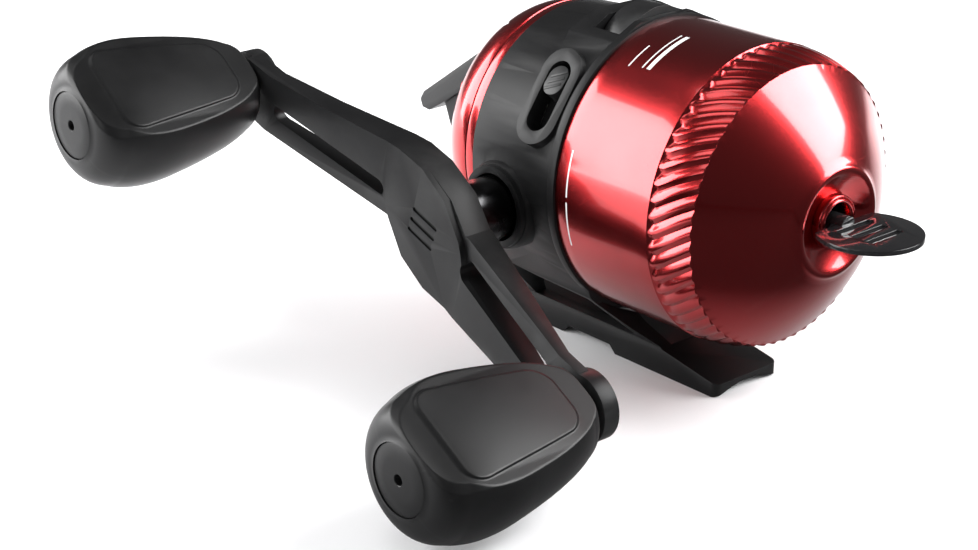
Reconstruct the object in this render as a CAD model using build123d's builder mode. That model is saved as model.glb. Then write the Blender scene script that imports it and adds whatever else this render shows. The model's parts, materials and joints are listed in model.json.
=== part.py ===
"""Spincast fishing reel, right-hand retrieve, as an assembly of separate solids (millimetres).

Frame: the origin is the middle of the foot's seat, +Z up, the nose points along -Y, the handle
is on the -X side.  "Station" means a place along Y, "radius" a distance from the spool axis.
"""

import os
from math import cos, hypot, radians, sin

from build123d import *

os.makedirs("parts", exist_ok=True)

# ---- Driving dimensions -------------------------------------------------------------------
AXIS_Z = 34.3  # spool axis above the seat

NOSE = -47.5  # front of the nose ring
KNURL_FRONT = -38.0  # where the cone meets the knurled band
KNURL_BACK = -31.4
COLLAR_FRONT = -9.6  # seam between the front cover and the body
COLLAR_BACK = 12.6  # seam between the body and the rear cover
DOME_END = COLLAR_BACK + 12.8  # rearmost part of the rear cover

NOSE_R = 8.9
CONE_R = 23.1
KNURL_R = 24.8
COVER_R = 25.0
COVER_WALL = 1.25
LIP_R = 25.4  # raised rim on the front of the collar
COLLAR_R = 24.3
COLLAR_BACK_R = 23.4
COLLAR_BORE_R = 21.9
REAR_R = 23.1
REAR_WALL = 1.2
REAR_END_R = 13.0

CRANK_Y = 4.7  # crank axis, parallel to X
CRANK_DROP = 5.84  # below the spool axis
CRANK_R = 2.5
BOSS_R = 7.7
BOSS_RIM_R = 7.1
BOSS_BORE_R = 5.86
BOSS_FACE = -25.7
BUSH_R = 4.2
LEFT_FACE = 24.6
BUSH_STOP = -22.2  # outer shoulder of the right bush
BUSH_END = -16.0
LEFT_BUSH_END = 16.0
LEFT_BUSH_STOP = 20.4

MODULE = 0.6
PINION_TEETH = 9
GEAR_TEETH = 38
TOOTH_HEIGHT = 0.45  # above the pitch line
TOOTH_ROOT = 0.6  # below it
GEAR_FACE = 3.4  # tooth length
GEAR_DISC = 2.7

HANDLE_REACH = 44.7  # crank axis to each knob axis
HANDLE_ANGLE = 20.5  # of the far arm above the +Y direction
HUB_FACE = -41.0
HUB_BACK = -34.6
ARM_END_FACE = -46.4
ARM_END_BACK = -43.2
ARM_STEP = 1.2  # the S-shaped face stands this far above the rest of the arm
ARM_BOSS_R = 5.65
ARM_BOSS_BACK = -42.2

KNOB_INNER = -47.1
KNOB_OUTER = -80.0
KNOB_R = 12.1
KNOB_NECK_R = 6.8
KNOB_FLAT_OUT = 7.3  # axis to the flat side, at the outer end and at the inner end
KNOB_FLAT_IN = 6.2
KNOB_BACK_FLAT = 2.4  # the opposite side is this much further out
KNOB_FACES = {"near": 120.0, "far": 126.0}  # direction that the flat side faces, from +Y towards +Z
KNOB_CAP_R = 5.7
SPINDLE_R = 1.6

SHAFT_R = 1.5
SHAFT_FRONT = -38.2
SHAFT_BACK = DOME_END - 3.0
SPOOL_R = 17.0
SPOOL_HUB_R = 9.0
SLEEVE_R = 5.0
DECK_FRONT = -13.6
DECK_BACK = -10.6
SPINNER_R = 19.6

FOOT_HALF_LENGTH = 30.6
FOOT_WIDTH = 15.0
FOOT_TIP = 2.4
FOOT_BLOCK = 4.9
FOOT_RELIEF = 1.4  # the middle of the underside is raised this much
FOOT_STEP_Y = 6.6
SADDLE_RISE = 1.5
FOOT_TIP_ROUND = 1.4

BUTTON_WIDTH = 19.0
BUTTON_PIVOT_Y = COLLAR_BACK + 5.9
BUTTON_PIVOT_UP = 13.5  # above the spool axis
BUTTON_PIN_R = 1.2

WHEEL_R = 10.3
WHEEL_UP = 17.1  # drag wheel axis above the spool axis
WHEEL_FRONT = -7.4
WHEEL_BACK = -2.2

SWITCH_ANGLE = 145.0  # middle of the switch slot, round the spool axis from +X
SWITCH_STATION = -3.0
SWITCH_SLOT_LENGTH = 12.5
SWITCH_SLOT_WIDTH = 4.8
SWITCH_REST = 138.6  # middle of the thumb piece at rest

# ---- Clearances ---------------------------------------------------------------------------
RUN = 0.05  # radial, shaft in bearing
SLIP = 0.1  # radial, parts that push together
GAP = 0.35  # between moving bodies

# ---- Derived sizes ------------------------------------------------------------------------
CRANK_Z = AXIS_Z - CRANK_DROP
PINION_R = MODULE * PINION_TEETH / 2
GEAR_REACH = MODULE * GEAR_TEETH / 2  # crank axis to the mesh, along Y
MESH = CRANK_Y - GEAR_REACH
GEAR_R = hypot(GEAR_REACH + GEAR_FACE / 2, CRANK_DROP)
GEAR_RIM = -(PINION_R + TOOTH_ROOT)  # X of the disc's toothed side
COVER_BORE_R = COVER_R - COVER_WALL
SPIGOT_R = COVER_BORE_R - SLIP

SPOOL_AXIS = Axis((0, 0, AXIS_Z), (0, 1, 0))
CRANK_AXIS = Axis((0, CRANK_Y, CRANK_Z), (1, 0, 0))
LATHE = Plane(origin=(0, 0, AXIS_Z), x_dir=(0, 1, 0), z_dir=(1, 0, 0))
CRANK_LATHE = Plane(origin=(0, CRANK_Y, CRANK_Z), x_dir=(1, 0, 0), z_dir=(0, -1, 0))


def across(station, up=0.0, side=0.0):
    """Plane square to the spool axis, facing the nose: local x is +X, local y is +Z."""
    return Plane(origin=(side, station, AXIS_Z + up), x_dir=(1, 0, 0), z_dir=(0, -1, 0))


def sideways(x, y=CRANK_Y, z=CRANK_Z):
    """Plane square to the crank axis, facing +X: local x is +Y, local y is +Z."""
    return Plane(origin=(x, y, z), x_dir=(0, 1, 0), z_dir=(1, 0, 0))


def turn(points, mode=Mode.ADD, plane=LATHE, axis=SPOOL_AXIS):
    """Revolve a closed outline of (along, radius) points."""
    with BuildSketch(plane) as outline:
        with BuildLine():
            Polyline(*points, close=True)
        make_face()
    revolve(outline.sketch, axis=axis, mode=mode)


def ring(start, end, inner, outer, mode=Mode.ADD, plane=LATHE, axis=SPOOL_AXIS):
    """Revolve a plain ring between two places along its axis."""
    turn([(start, inner), (end, inner), (end, outer), (start, outer)], mode, plane, axis)


def disc(plane, radius, depth, mode=Mode.ADD):
    """A round slab standing on a plane."""
    with BuildSketch(plane) as outline:
        Circle(radius)
    extrude(outline.sketch, amount=depth, mode=mode)


def slab(plane, points, depth, mode=Mode.ADD, both=False):
    """Extrude a closed outline from a plane."""
    with BuildSketch(plane) as outline:
        with BuildLine():
            Polyline(*points, close=True)
        make_face()
    extrude(outline.sketch, amount=depth, both=both, mode=mode)


def toothed(plane, teeth, root_r, tip_r, root_w, tip_w, depth, start=0.0):
    """A disc with straight-sided teeth; start is the first tooth's angle."""
    with BuildSketch(plane) as outline:
        Circle(root_r)
        with PolarLocations(0, teeth, start_angle=start):
            with BuildLine():
                Polyline(
                    (root_r * 0.9, -root_w / 2),
                    (tip_r, -tip_w / 2),
                    (tip_r, tip_w / 2),
                    (root_r * 0.9, root_w / 2),
                    close=True,
                )
            make_face()
    extrude(outline.sketch, amount=depth)


def save(builder, label):
    """Label a finished piece and write its STEP file."""
    builder.part.label = label
    export_step(builder.part, f"parts/{label}.step")


# ---- Front cover: thin anodised shell with a coned face -------------------------------------
NOSE_BORE_R = 4.4
DISH_DEPTH = 1.6
CONE_BULGE = 0.6


def shell_outline(inset):
    """Outer or inner line of the front cover, from the nose bore to the seam."""
    nose_r, cone_r = NOSE_R - inset * 0.4, CONE_R - inset
    front, shoulder = NOSE + inset * 1.4, KNURL_FRONT + inset * 0.55
    middle = ((front + shoulder) / 2 - CONE_BULGE, (nose_r + cone_r) / 2 + CONE_BULGE * 0.6)
    return nose_r, cone_r, front, shoulder, middle


with BuildPart() as front_cover:
    with BuildSketch(LATHE) as cover_half:
        with BuildLine():
            nose_r, cone_r, front, shoulder, middle = shell_outline(0)
            Line((NOSE + DISH_DEPTH, NOSE_BORE_R), (NOSE, NOSE_R - 2.0))
            ThreePointArc((NOSE, NOSE_R - 2.0), (NOSE - 0.45, NOSE_R - 1.0), (NOSE + 0.1, NOSE_R))
            ThreePointArc((NOSE + 0.1, NOSE_R), middle, (shoulder, cone_r))
            ThreePointArc((shoulder, cone_r), (shoulder + 2.0, KNURL_R - 0.5), (KNURL_BACK, KNURL_R))
            Line((KNURL_BACK, KNURL_R), (KNURL_BACK + 1.2, COVER_R))
            Line((KNURL_BACK + 1.2, COVER_R), (COLLAR_FRONT, COVER_R))
            Line((COLLAR_FRONT, COVER_R), (COLLAR_FRONT, COVER_BORE_R))
            nose_r, cone_r, front, shoulder, middle = shell_outline(COVER_WALL)
            Line((COLLAR_FRONT, COVER_BORE_R), (KNURL_BACK + 1.2, COVER_BORE_R))
            Line((KNURL_BACK + 1.2, COVER_BORE_R), (shoulder, cone_r))
            Line((shoulder, cone_r), (front + DISH_DEPTH, nose_r))
            Line((front + DISH_DEPTH, nose_r), (front + DISH_DEPTH, NOSE_BORE_R))
            Line((front + DISH_DEPTH, NOSE_BORE_R), (NOSE + DISH_DEPTH, NOSE_BORE_R))
        make_face()
    revolve(axis=SPOOL_AXIS)
save(front_cover, "front_cover")

# ---- Line guide ring in the nose -------------------------------------------------------------
RING_BORE_R = 2.4
RING_BACK = NOSE + DISH_DEPTH + COVER_WALL * 1.4 + 0.3

with BuildPart() as line_guide_ring:
    turn(
        [
            (NOSE + 0.2, RING_BORE_R + 0.5),
            (NOSE + 0.2, RING_BORE_R + 1.2),
            (NOSE + 0.9, RING_BORE_R + 1.6),
            (NOSE + DISH_DEPTH - 0.02, NOSE_BORE_R - SLIP),
            (RING_BACK + 1.2, NOSE_BORE_R - SLIP),
            (RING_BACK + 1.2, RING_BORE_R + 0.6),
            (RING_BACK + 0.6, RING_BORE_R),
            (NOSE + 0.7, RING_BORE_R),
        ]
    )
save(line_guide_ring, "line_guide_ring")

# ---- Line keeper tab: a slotted round plate whose stem pushes into the guide ring ------------
TAB_R = 8.45
TAB_MIDDLE = NOSE - 6.35
TAB_BACK = NOSE - 1.1  # the disc is cut straight here, in front of the nose ring
TAB_THICK = 0.8
TAB_STEM_R = 1.6
TAB_SLOT = 8.0
TAB_SLOT_PITCH = 2.9
TAB_SLOT_WIDTH = 1.25

with BuildPart() as line_tab:
    with BuildSketch(Plane.XY.offset(AXIS_Z - TAB_THICK / 2)):
        with Locations((0, TAB_MIDDLE)):
            Circle(TAB_R)
        with Locations((0, TAB_BACK + TAB_R)):
            Rectangle(2 * TAB_R, 2 * TAB_R, mode=Mode.SUBTRACT)
        for number in (-1, 0, 1):
            with Locations((0, TAB_MIDDLE + number * TAB_SLOT_PITCH)):
                SlotOverall(TAB_SLOT, TAB_SLOT_WIDTH, mode=Mode.SUBTRACT)
    extrude(amount=TAB_THICK)
    ring(TAB_BACK - 1.0, NOSE + 4.0, 0, TAB_STEM_R)
save(line_tab, "line_tab")

# ---- Cover seal: rubber ring on the front spigot ----------------------------------------------
SEAL_STATION = COLLAR_FRONT - 2.4
SEAL_R = 0.5

with BuildPart() as cover_seal:
    with BuildSketch(LATHE):
        with Locations((SEAL_STATION, SPIGOT_R - SEAL_R)):
            Circle(SEAL_R)
    revolve(axis=SPOOL_AXIS)
save(cover_seal, "cover_seal")

# ---- Body housing: collar, crank bosses, drag hump, switch pad, pedestal and foot --------------
SPIGOT_LENGTH = 4.4
REAR_SPIGOT_R = REAR_R - REAR_WALL - SLIP
DECK_R = COLLAR_BORE_R - 0.4
SCREW_CIRCLE_R = 19.3
SCREW_ANGLES = (35, 205, 325)
LUG_IN = BUTTON_WIDTH / 2 + 0.6
LUG_OUT = LUG_IN + 2.0
REAR_SCREW_R = 14.6
REAR_SCREW_ANGLES = (30, 150)
REAR_POST_END = COLLAR_BACK + 7.8
PAWL_PIVOT = (6.5, -6.8)  # from the crank axis, along Y and Z
PAWL_PIN_R = 1.1
RATCHET_BACK = -12.2
RATCHET_THICK = 1.4

with BuildPart() as pedestal:
    # Side view of the struts, then their front view, then the windows between them.
    slab(
        Plane.YZ,
        [
            (COLLAR_FRONT, AXIS_Z - 13),
            (COLLAR_FRONT, FOOT_BLOCK + 7.6),
            (COLLAR_FRONT - 3.6, FOOT_BLOCK + 3.0),
            (COLLAR_FRONT - 9.5, FOOT_BLOCK - 1.0),
            (COLLAR_BACK + 9.0, FOOT_BLOCK - 1.0),
            (COLLAR_BACK + 2.5, FOOT_BLOCK + 3.6),
            (COLLAR_BACK, FOOT_BLOCK + 8.6),
            (COLLAR_BACK, AXIS_Z - 13),
        ],
        30,
        both=True,
    )
    slab(
        across(0, up=-AXIS_Z),
        [
            (-19.5, AXIS_Z - 12),
            (-16.5, FOOT_BLOCK + 9.1),
            (-FOOT_WIDTH / 2, FOOT_BLOCK + 0.2),
            (-FOOT_WIDTH / 2, FOOT_TIP),
            (FOOT_WIDTH / 2, FOOT_TIP),
            (FOOT_WIDTH / 2, FOOT_BLOCK + 0.2),
            (16.5, FOOT_BLOCK + 9.1),
            (19.5, AXIS_Z - 12),
        ],
        40,
        mode=Mode.INTERSECT,
        both=True,
    )
    slab(
        across(0, up=-AXIS_Z),
        [(-12.0, AXIS_Z - 16), (-5.0, FOOT_BLOCK), (5.0, FOOT_BLOCK), (12.0, AXIS_Z - 16)],
        40,
        mode=Mode.SUBTRACT,
        both=True,
    )
    slab(
        Plane.YZ,
        [
            (COLLAR_FRONT + 1.6, FOOT_BLOCK + 8.1),
            (COLLAR_FRONT - 2.6, FOOT_BLOCK + 1.2),
            (COLLAR_FRONT - 1.0, FOOT_BLOCK + 0.4),
            (COLLAR_BACK + 1.0, FOOT_BLOCK + 0.4),
            (COLLAR_BACK - 1.8, FOOT_BLOCK + 9.6),
        ],
        30,
        mode=Mode.SUBTRACT,
        both=True,
    )
    # Room for both covers and for everything inside the collar.
    ring(COLLAR_FRONT - 20, COLLAR_FRONT, 0, LIP_R + GAP, mode=Mode.SUBTRACT)
    ring(COLLAR_FRONT, COLLAR_BACK, 0, COLLAR_BORE_R + 0.3, mode=Mode.SUBTRACT)
    ring(COLLAR_BACK, COLLAR_BACK + 20, 0, REAR_R + GAP, mode=Mode.SUBTRACT)

with BuildPart() as foot:
    slab(
        Plane.YZ,
        [
            (-FOOT_HALF_LENGTH, 0),
            (-FOOT_STEP_Y, 0),
            (-FOOT_STEP_Y + 1.4, FOOT_RELIEF),
            (FOOT_STEP_Y - 1.4, FOOT_RELIEF),
            (FOOT_STEP_Y, 0),
            (FOOT_HALF_LENGTH, 0),
            (FOOT_HALF_LENGTH, FOOT_TIP),
            (COLLAR_BACK + 7.0, FOOT_BLOCK),
            (COLLAR_FRONT - 7.0, FOOT_BLOCK),
            (-FOOT_HALF_LENGTH, FOOT_TIP),
        ],
        FOOT_WIDTH / 2,
        both=True,
    )
    tips = foot.edges().filter_by(Axis.Z).filter_by(lambda e: abs(e.center().Y) > FOOT_HALF_LENGTH - 1)
    fillet(tips, radius=FOOT_TIP_ROUND)
    saddle_r = ((FOOT_WIDTH / 2) ** 2 + SADDLE_RISE**2) / (2 * SADDLE_RISE)
    disc(
        Plane(
            origin=(0, FOOT_HALF_LENGTH + 1, SADDLE_RISE - saddle_r),
            x_dir=(1, 0, 0),
            z_dir=(0, -1, 0),
        ),
        saddle_r,
        2 * FOOT_HALF_LENGTH + 2,
        mode=Mode.SUBTRACT,
    )


def slot_plane(angle, radius, station=SWITCH_STATION):
    """Plane facing outward at a place round the collar: local x runs round it, local y along -Y."""
    out = (cos(radians(angle)), 0, sin(radians(angle)))
    round_it = (-out[2], 0, out[0])
    origin = (radius * out[0], station, AXIS_Z + radius * out[2])
    return Plane(origin=origin, x_dir=round_it, z_dir=out)


def polar_up(angle, radius):
    """Offsets (side, up) of a place round the spool axis."""
    return radius * cos(radians(angle)), radius * sin(radians(angle))


with BuildPart() as body_housing:
    turn(
        [
            (COLLAR_FRONT, COLLAR_BORE_R),
            (COLLAR_FRONT, LIP_R),
            (COLLAR_FRONT + 1.5, LIP_R),
            (COLLAR_FRONT + 1.8, COLLAR_R + 0.2),
            (COLLAR_FRONT + 2.4, COLLAR_R + 0.4),
            (COLLAR_BACK, COLLAR_BACK_R),
            (COLLAR_BACK, COLLAR_BORE_R),
        ]
    )
    ring(COLLAR_FRONT - SPIGOT_LENGTH, COLLAR_FRONT, COLLAR_BORE_R, SPIGOT_R)
    ring(
        SEAL_STATION - SEAL_R - SLIP,
        SEAL_STATION + SEAL_R + SLIP,
        SPIGOT_R - 2 * SEAL_R - SLIP,
        SPIGOT_R + 1,
        mode=Mode.SUBTRACT,
    )
    add(pedestal.part)
    add(foot.part)
    # Drag hump over the wheel.
    slab(
        across(WHEEL_BACK + 4.2),
        [(-14.5, 18.0), (-11.5, 22.6), (-6.0, 25.2), (6.0, 25.2), (11.5, 22.6), (14.5, 18.0)],
        WHEEL_BACK - WHEEL_FRONT + 4.2 + 1.7,
    )
    # Raised switch pad.
    with BuildSketch(slot_plane(SWITCH_ANGLE, COLLAR_R - 1.6)) as pad:
        SlotOverall(SWITCH_SLOT_LENGTH + 4.6, SWITCH_SLOT_WIDTH + 3.6)
    extrude(pad.sketch, amount=2.3)
    # Clear the inside, then add what stands in it.
    ring(COLLAR_FRONT - 5, COLLAR_BACK + 4, 0, COLLAR_BORE_R, mode=Mode.SUBTRACT)
    ring(COLLAR_BACK - 2.0, COLLAR_BACK + 2.2, REAR_SPIGOT_R - 1.6, REAR_SPIGOT_R)
    ring(COLLAR_BACK - 2.0, COLLAR_BACK, REAR_SPIGOT_R - 1.6, COLLAR_BORE_R + 0.3)
    # Crank boss on the handle side and the bearing boss opposite.
    turn(
        [
            (BUSH_END + 0.4, 0),
            (BOSS_FACE, 0),
            (BOSS_FACE, BOSS_RIM_R),
            (BOSS_FACE + 0.9, BOSS_RIM_R),
            (BOSS_FACE + 0.9, BOSS_R - 0.4),
            (BOSS_FACE + 1.6, BOSS_R),
            (-21.0, BOSS_R),
            (BUSH_END + 0.4, BUSH_R + 1.6),
        ],
        plane=CRANK_LATHE,
        axis=CRANK_AXIS,
    )
    ring(LEFT_BUSH_END, LEFT_FACE, 0, BUSH_R + 2.2, plane=CRANK_LATHE, axis=CRANK_AXIS)
    # Wheel slot through the hump.
    slab(
        across(WHEEL_BACK + GAP),
        [(-9.4, 10), (-9.4, 26), (9.4, 26), (9.4, 10)],
        WHEEL_BACK - WHEEL_FRONT + 2 * GAP,
        mode=Mode.SUBTRACT,
    )
    disc(
        across(WHEEL_BACK + GAP, up=WHEEL_UP),
        WHEEL_R + 0.5,
        WHEEL_BACK - WHEEL_FRONT + 2 * GAP,
        mode=Mode.SUBTRACT,
    )
    # Switch slot and the pocket for its slide.
    with BuildSketch(slot_plane(SWITCH_ANGLE, COLLAR_R - 6)) as slot:
        SlotOverall(SWITCH_SLOT_LENGTH, SWITCH_SLOT_WIDTH)
    extrude(slot.sketch, amount=9, mode=Mode.SUBTRACT)
    # Crank bores.
    ring(BOSS_FACE, BUSH_STOP, 0, BOSS_BORE_R, Mode.SUBTRACT, CRANK_LATHE, CRANK_AXIS)
    ring(BOSS_FACE, -10, 0, BUSH_R, Mode.SUBTRACT, CRANK_LATHE, CRANK_AXIS)
    ring(10, LEFT_FACE, 0, BUSH_R, Mode.SUBTRACT, CRANK_LATHE, CRANK_AXIS)
    # Posts for the deck screws, lugs for the button pin, posts for the rear screws.
    for angle in SCREW_ANGLES:
        side, up = polar_up(angle, SCREW_CIRCLE_R)
        disc(across(-3.0, up=up, side=side), 2.7, -3.0 - DECK_BACK)
        disc(across(-4.0, up=up, side=side), 0.9, 10, mode=Mode.SUBTRACT)
    for angle in REAR_SCREW_ANGLES:
        side, up = polar_up(angle, REAR_SCREW_R)
        wall_side, wall_up = polar_up(angle, COLLAR_BORE_R + 0.5)
        slab(
            across(COLLAR_BACK),
            [(side, up - 1.4), (side, up + 1.4), (wall_side, wall_up + 1.4), (wall_side, wall_up - 1.4)],
            4.0,
        )
        disc(across(REAR_POST_END, up=up, side=side), 2.1, REAR_POST_END - COLLAR_BACK + 4.0)
        disc(across(REAR_POST_END + 1, up=up, side=side), 0.8, 9, mode=Mode.SUBTRACT)
    disc(
        sideways(-19.0, CRANK_Y + PAWL_PIVOT[0], CRANK_Z + PAWL_PIVOT[1]),
        PAWL_PIN_R,
        19.0 + RATCHET_BACK + RATCHET_THICK + 0.3,
    )
    for side in (-1, 1):
        low, high = sorted((side * LUG_IN, side * LUG_OUT))
        slab(
            sideways(low, 0, AXIS_Z + BUTTON_PIVOT_UP),
            [
                (COLLAR_BACK - 4, 5.4),
                (COLLAR_BACK - 4, -2.6),
                (BUTTON_PIVOT_Y + 1.6, -2.4),
                (BUTTON_PIVOT_Y + 1.6, 1.2),
                (COLLAR_BACK + 1.2, 3.0),
                (COLLAR_BACK - 1.2, 5.4),
            ],
            high - low,
        )
    disc(
        sideways(-LUG_OUT - 1, BUTTON_PIVOT_Y, AXIS_Z + BUTTON_PIVOT_UP),
        BUTTON_PIN_R + 0.02,
        2 * LUG_OUT + 2,
        mode=Mode.SUBTRACT,
    )
save(body_housing, "body_housing")

# ---- Rear cover: domed shell with a slot for the thumb button ----------------------------------
DOME_START = COLLAR_BACK + 3.8
BUTTON_SLOT = BUTTON_WIDTH / 2 + 0.6
GROOVE = COLLAR_BACK + 2.3


def dome_mid(inset):
    """Point that shapes the dome's arc, part way between its rim and its end."""
    return DOME_END - 3.0 - inset * 0.75, REAR_R - 3.2 - inset * 0.75


with BuildPart() as rear_cover:
    with BuildSketch(LATHE):
        with BuildLine():
            Polyline(
                (COLLAR_BACK, REAR_R - REAR_WALL),
                (COLLAR_BACK, REAR_R),
                (GROOVE - 0.2, REAR_R - 0.05),
                (GROOVE, REAR_R - 0.45),
                (GROOVE + 0.2, REAR_R - 0.1),
                (DOME_START, REAR_R - 0.15),
            )
            ThreePointArc((DOME_START, REAR_R - 0.15), dome_mid(0), (DOME_END, REAR_END_R))
            Line((DOME_END, REAR_END_R), (DOME_END + 0.25, 0))
            Line((DOME_END + 0.25, 0), (DOME_END - REAR_WALL + 0.25, 0))
            Line((DOME_END - REAR_WALL + 0.25, 0), (DOME_END - REAR_WALL, REAR_END_R))
            ThreePointArc(
                (DOME_END - REAR_WALL, REAR_END_R),
                dome_mid(REAR_WALL),
                (DOME_START, REAR_R - REAR_WALL),
            )
            Line((DOME_START, REAR_R - REAR_WALL), (COLLAR_BACK, REAR_R - REAR_WALL))
        make_face()
    revolve(axis=SPOOL_AXIS)
    slab(
        across(DOME_END + 5),
        [(-BUTTON_SLOT, -16), (-BUTTON_SLOT, 20.0), (BUTTON_SLOT, 20.0), (BUTTON_SLOT, -16)],
        DOME_END + 5 - DOME_START,
        mode=Mode.SUBTRACT,
    )
    for angle in REAR_SCREW_ANGLES:
        side, up = polar_up(angle, REAR_SCREW_R)
        disc(across(DOME_END, up=up, side=side), 2.6, DOME_END - REAR_POST_END - 0.05)
        disc(across(DOME_END + 2, up=up, side=side), 1.2, 9, mode=Mode.SUBTRACT)
        disc(across(DOME_END + 2, up=up, side=side), 1.95, 4.2, mode=Mode.SUBTRACT)
save(rear_cover, "rear_cover")

with BuildPart() as rear_cover_screws:
    for angle in REAR_SCREW_ANGLES:
        side, up = polar_up(angle, REAR_SCREW_R)
        head = DOME_END - 2.2
        disc(across(head + 1.2, up=up, side=side), 1.8, 1.2)
        disc(across(head, up=up, side=side), 0.75, 7.5)
        with BuildSketch(across(head + 1.2, up=up, side=side)) as cross:
            Rectangle(2.4, 0.5)
            Rectangle(0.5, 2.4)
        extrude(cross.sketch, amount=0.7, mode=Mode.SUBTRACT)
save(rear_cover_screws, "rear_cover_screws")

# ---- Deck plate with the spool sleeve, its bearing and screws ------------------------------------
SLEEVE_FRONT = -30.6
BEARING_R = 3.6
DECK_HUB = 0.6
DRAG_PIN_UP = 10.2
DRAG_PIN_R = 1.4
CLICK_PIN_R = 0.9
CLICK_PIVOT = polar_up(150, 19.1)

with BuildPart() as deck_plate:
    ring(DECK_FRONT, DECK_BACK, 0, DECK_R)
    ring(SLEEVE_FRONT, DECK_FRONT, 0, SLEEVE_R)
    ring(DECK_BACK, DECK_BACK + DECK_HUB, 0, BEARING_R + 1.9)
    ring(SLEEVE_FRONT, DECK_BACK + DECK_HUB, 0, 2.2, mode=Mode.SUBTRACT)
    ring(DECK_FRONT + 0.6, DECK_BACK + DECK_HUB, 0, BEARING_R, mode=Mode.SUBTRACT)
    ring(SLEEVE_FRONT + 0.7, SLEEVE_FRONT + 1.5, SLEEVE_R - 0.5, SLEEVE_R + 1, mode=Mode.SUBTRACT)
    disc(across(DECK_BACK + 1, up=DRAG_PIN_UP), DRAG_PIN_R + RUN, 5, mode=Mode.SUBTRACT)
    disc(across(DECK_BACK + 1, up=WHEEL_UP), 1.5, 5, mode=Mode.SUBTRACT)
    disc(across(DECK_FRONT, *CLICK_PIVOT[::-1]), CLICK_PIN_R, 1.9)
    for angle in SCREW_ANGLES:
        side, up = polar_up(angle, SCREW_CIRCLE_R)
        disc(across(DECK_BACK + 1, up=up, side=side), 1.1, 5, mode=Mode.SUBTRACT)
save(deck_plate, "deck_plate")

with BuildPart() as deck_screws:
    for angle in SCREW_ANGLES:
        side, up = polar_up(angle, SCREW_CIRCLE_R)
        disc(across(DECK_FRONT, up=up, side=side), 1.9, 1.1)
        disc(across(DECK_FRONT + 8.6, up=up, side=side), 0.88, 8.6)
        with BuildSketch(across(DECK_FRONT - 0.6, up=up, side=side)) as cross:
            Rectangle(2.4, 0.45)
            Rectangle(0.45, 2.4)
        extrude(cross.sketch, amount=0.6, mode=Mode.SUBTRACT)
save(deck_screws, "deck_screws")

PINION_JOURNAL_R = 2.3
with BuildPart() as pinion_bearing:
    ring(DECK_FRONT + 0.7, DECK_BACK + DECK_HUB, PINION_JOURNAL_R + RUN, BEARING_R)
save(pinion_bearing, "pinion_bearing")

# ---- Crank bearings, cap and clip ----------------------------------------------------------------
CAP_R = 6.2
BUSH_LIP = 0.7
BUSH_LIP_R = BOSS_BORE_R - 0.76
CLIP_FROM = LEFT_BUSH_END - 2.4  # clip groove in the crank shaft
CLIP_TO = CLIP_FROM + 0.8

with BuildPart() as crank_bush_right:
    ring(BUSH_STOP, BUSH_END, CRANK_R + RUN, BUSH_R, plane=CRANK_LATHE, axis=CRANK_AXIS)
    ring(BUSH_STOP - BUSH_LIP, BUSH_STOP, CRANK_R + RUN, BUSH_LIP_R, plane=CRANK_LATHE, axis=CRANK_AXIS)
save(crank_bush_right, "crank_bush_right")

with BuildPart() as crank_bush_left:
    ring(LEFT_BUSH_END, LEFT_BUSH_STOP, CRANK_R + RUN, BUSH_R, plane=CRANK_LATHE, axis=CRANK_AXIS)
    lip_start = LEFT_BUSH_END - BUSH_LIP
    ring(lip_start, LEFT_BUSH_END, CRANK_R + RUN, BUSH_R + 0.9, plane=CRANK_LATHE, axis=CRANK_AXIS)
save(crank_bush_left, "crank_bush_left")

with BuildPart() as left_bearing_cap:
    turn(
        [
            (LEFT_BUSH_STOP + 0.4, 0),
            (LEFT_BUSH_STOP + 0.4, BUSH_R),
            (LEFT_FACE, BUSH_R),
            (LEFT_FACE, CAP_R),
            (LEFT_FACE + 1.0, CAP_R),
            (LEFT_FACE + 1.8, CAP_R - 1.0),
            (LEFT_FACE + 1.8, 0),
        ],
        plane=CRANK_LATHE,
        axis=CRANK_AXIS,
    )
save(left_bearing_cap, "left_bearing_cap")

with BuildPart() as crank_clip:
    ring(CLIP_FROM, CLIP_TO, CRANK_R - 0.5, CRANK_R + 1.4, plane=CRANK_LATHE, axis=CRANK_AXIS)
    slab(sideways(CLIP_FROM - 0.6), [(0, -1.6), (0, 1.6), (6, 1.6), (6, -1.6)], 2, mode=Mode.SUBTRACT)
save(crank_clip, "crank_clip")

# ---- Crank shaft, drive gear and ratchet ---------------------------------------------------------
SHAFT_END = -38.6
GEAR_SEAT = -9.3  # shoulder that the gear's hub rests on

with BuildPart() as crank_shaft:
    ring(SHAFT_END, LEFT_BUSH_STOP - 0.2, 0, CRANK_R, plane=CRANK_LATHE, axis=CRANK_AXIS)
    ring(CLIP_FROM, CLIP_TO, CRANK_R - 0.5, CRANK_R + 1, Mode.SUBTRACT, CRANK_LATHE, CRANK_AXIS)
    ring(GEAR_SEAT - 0.7, GEAR_SEAT, 0, CRANK_R + 1.6, plane=CRANK_LATHE, axis=CRANK_AXIS)
save(crank_shaft, "crank_shaft")

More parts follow.
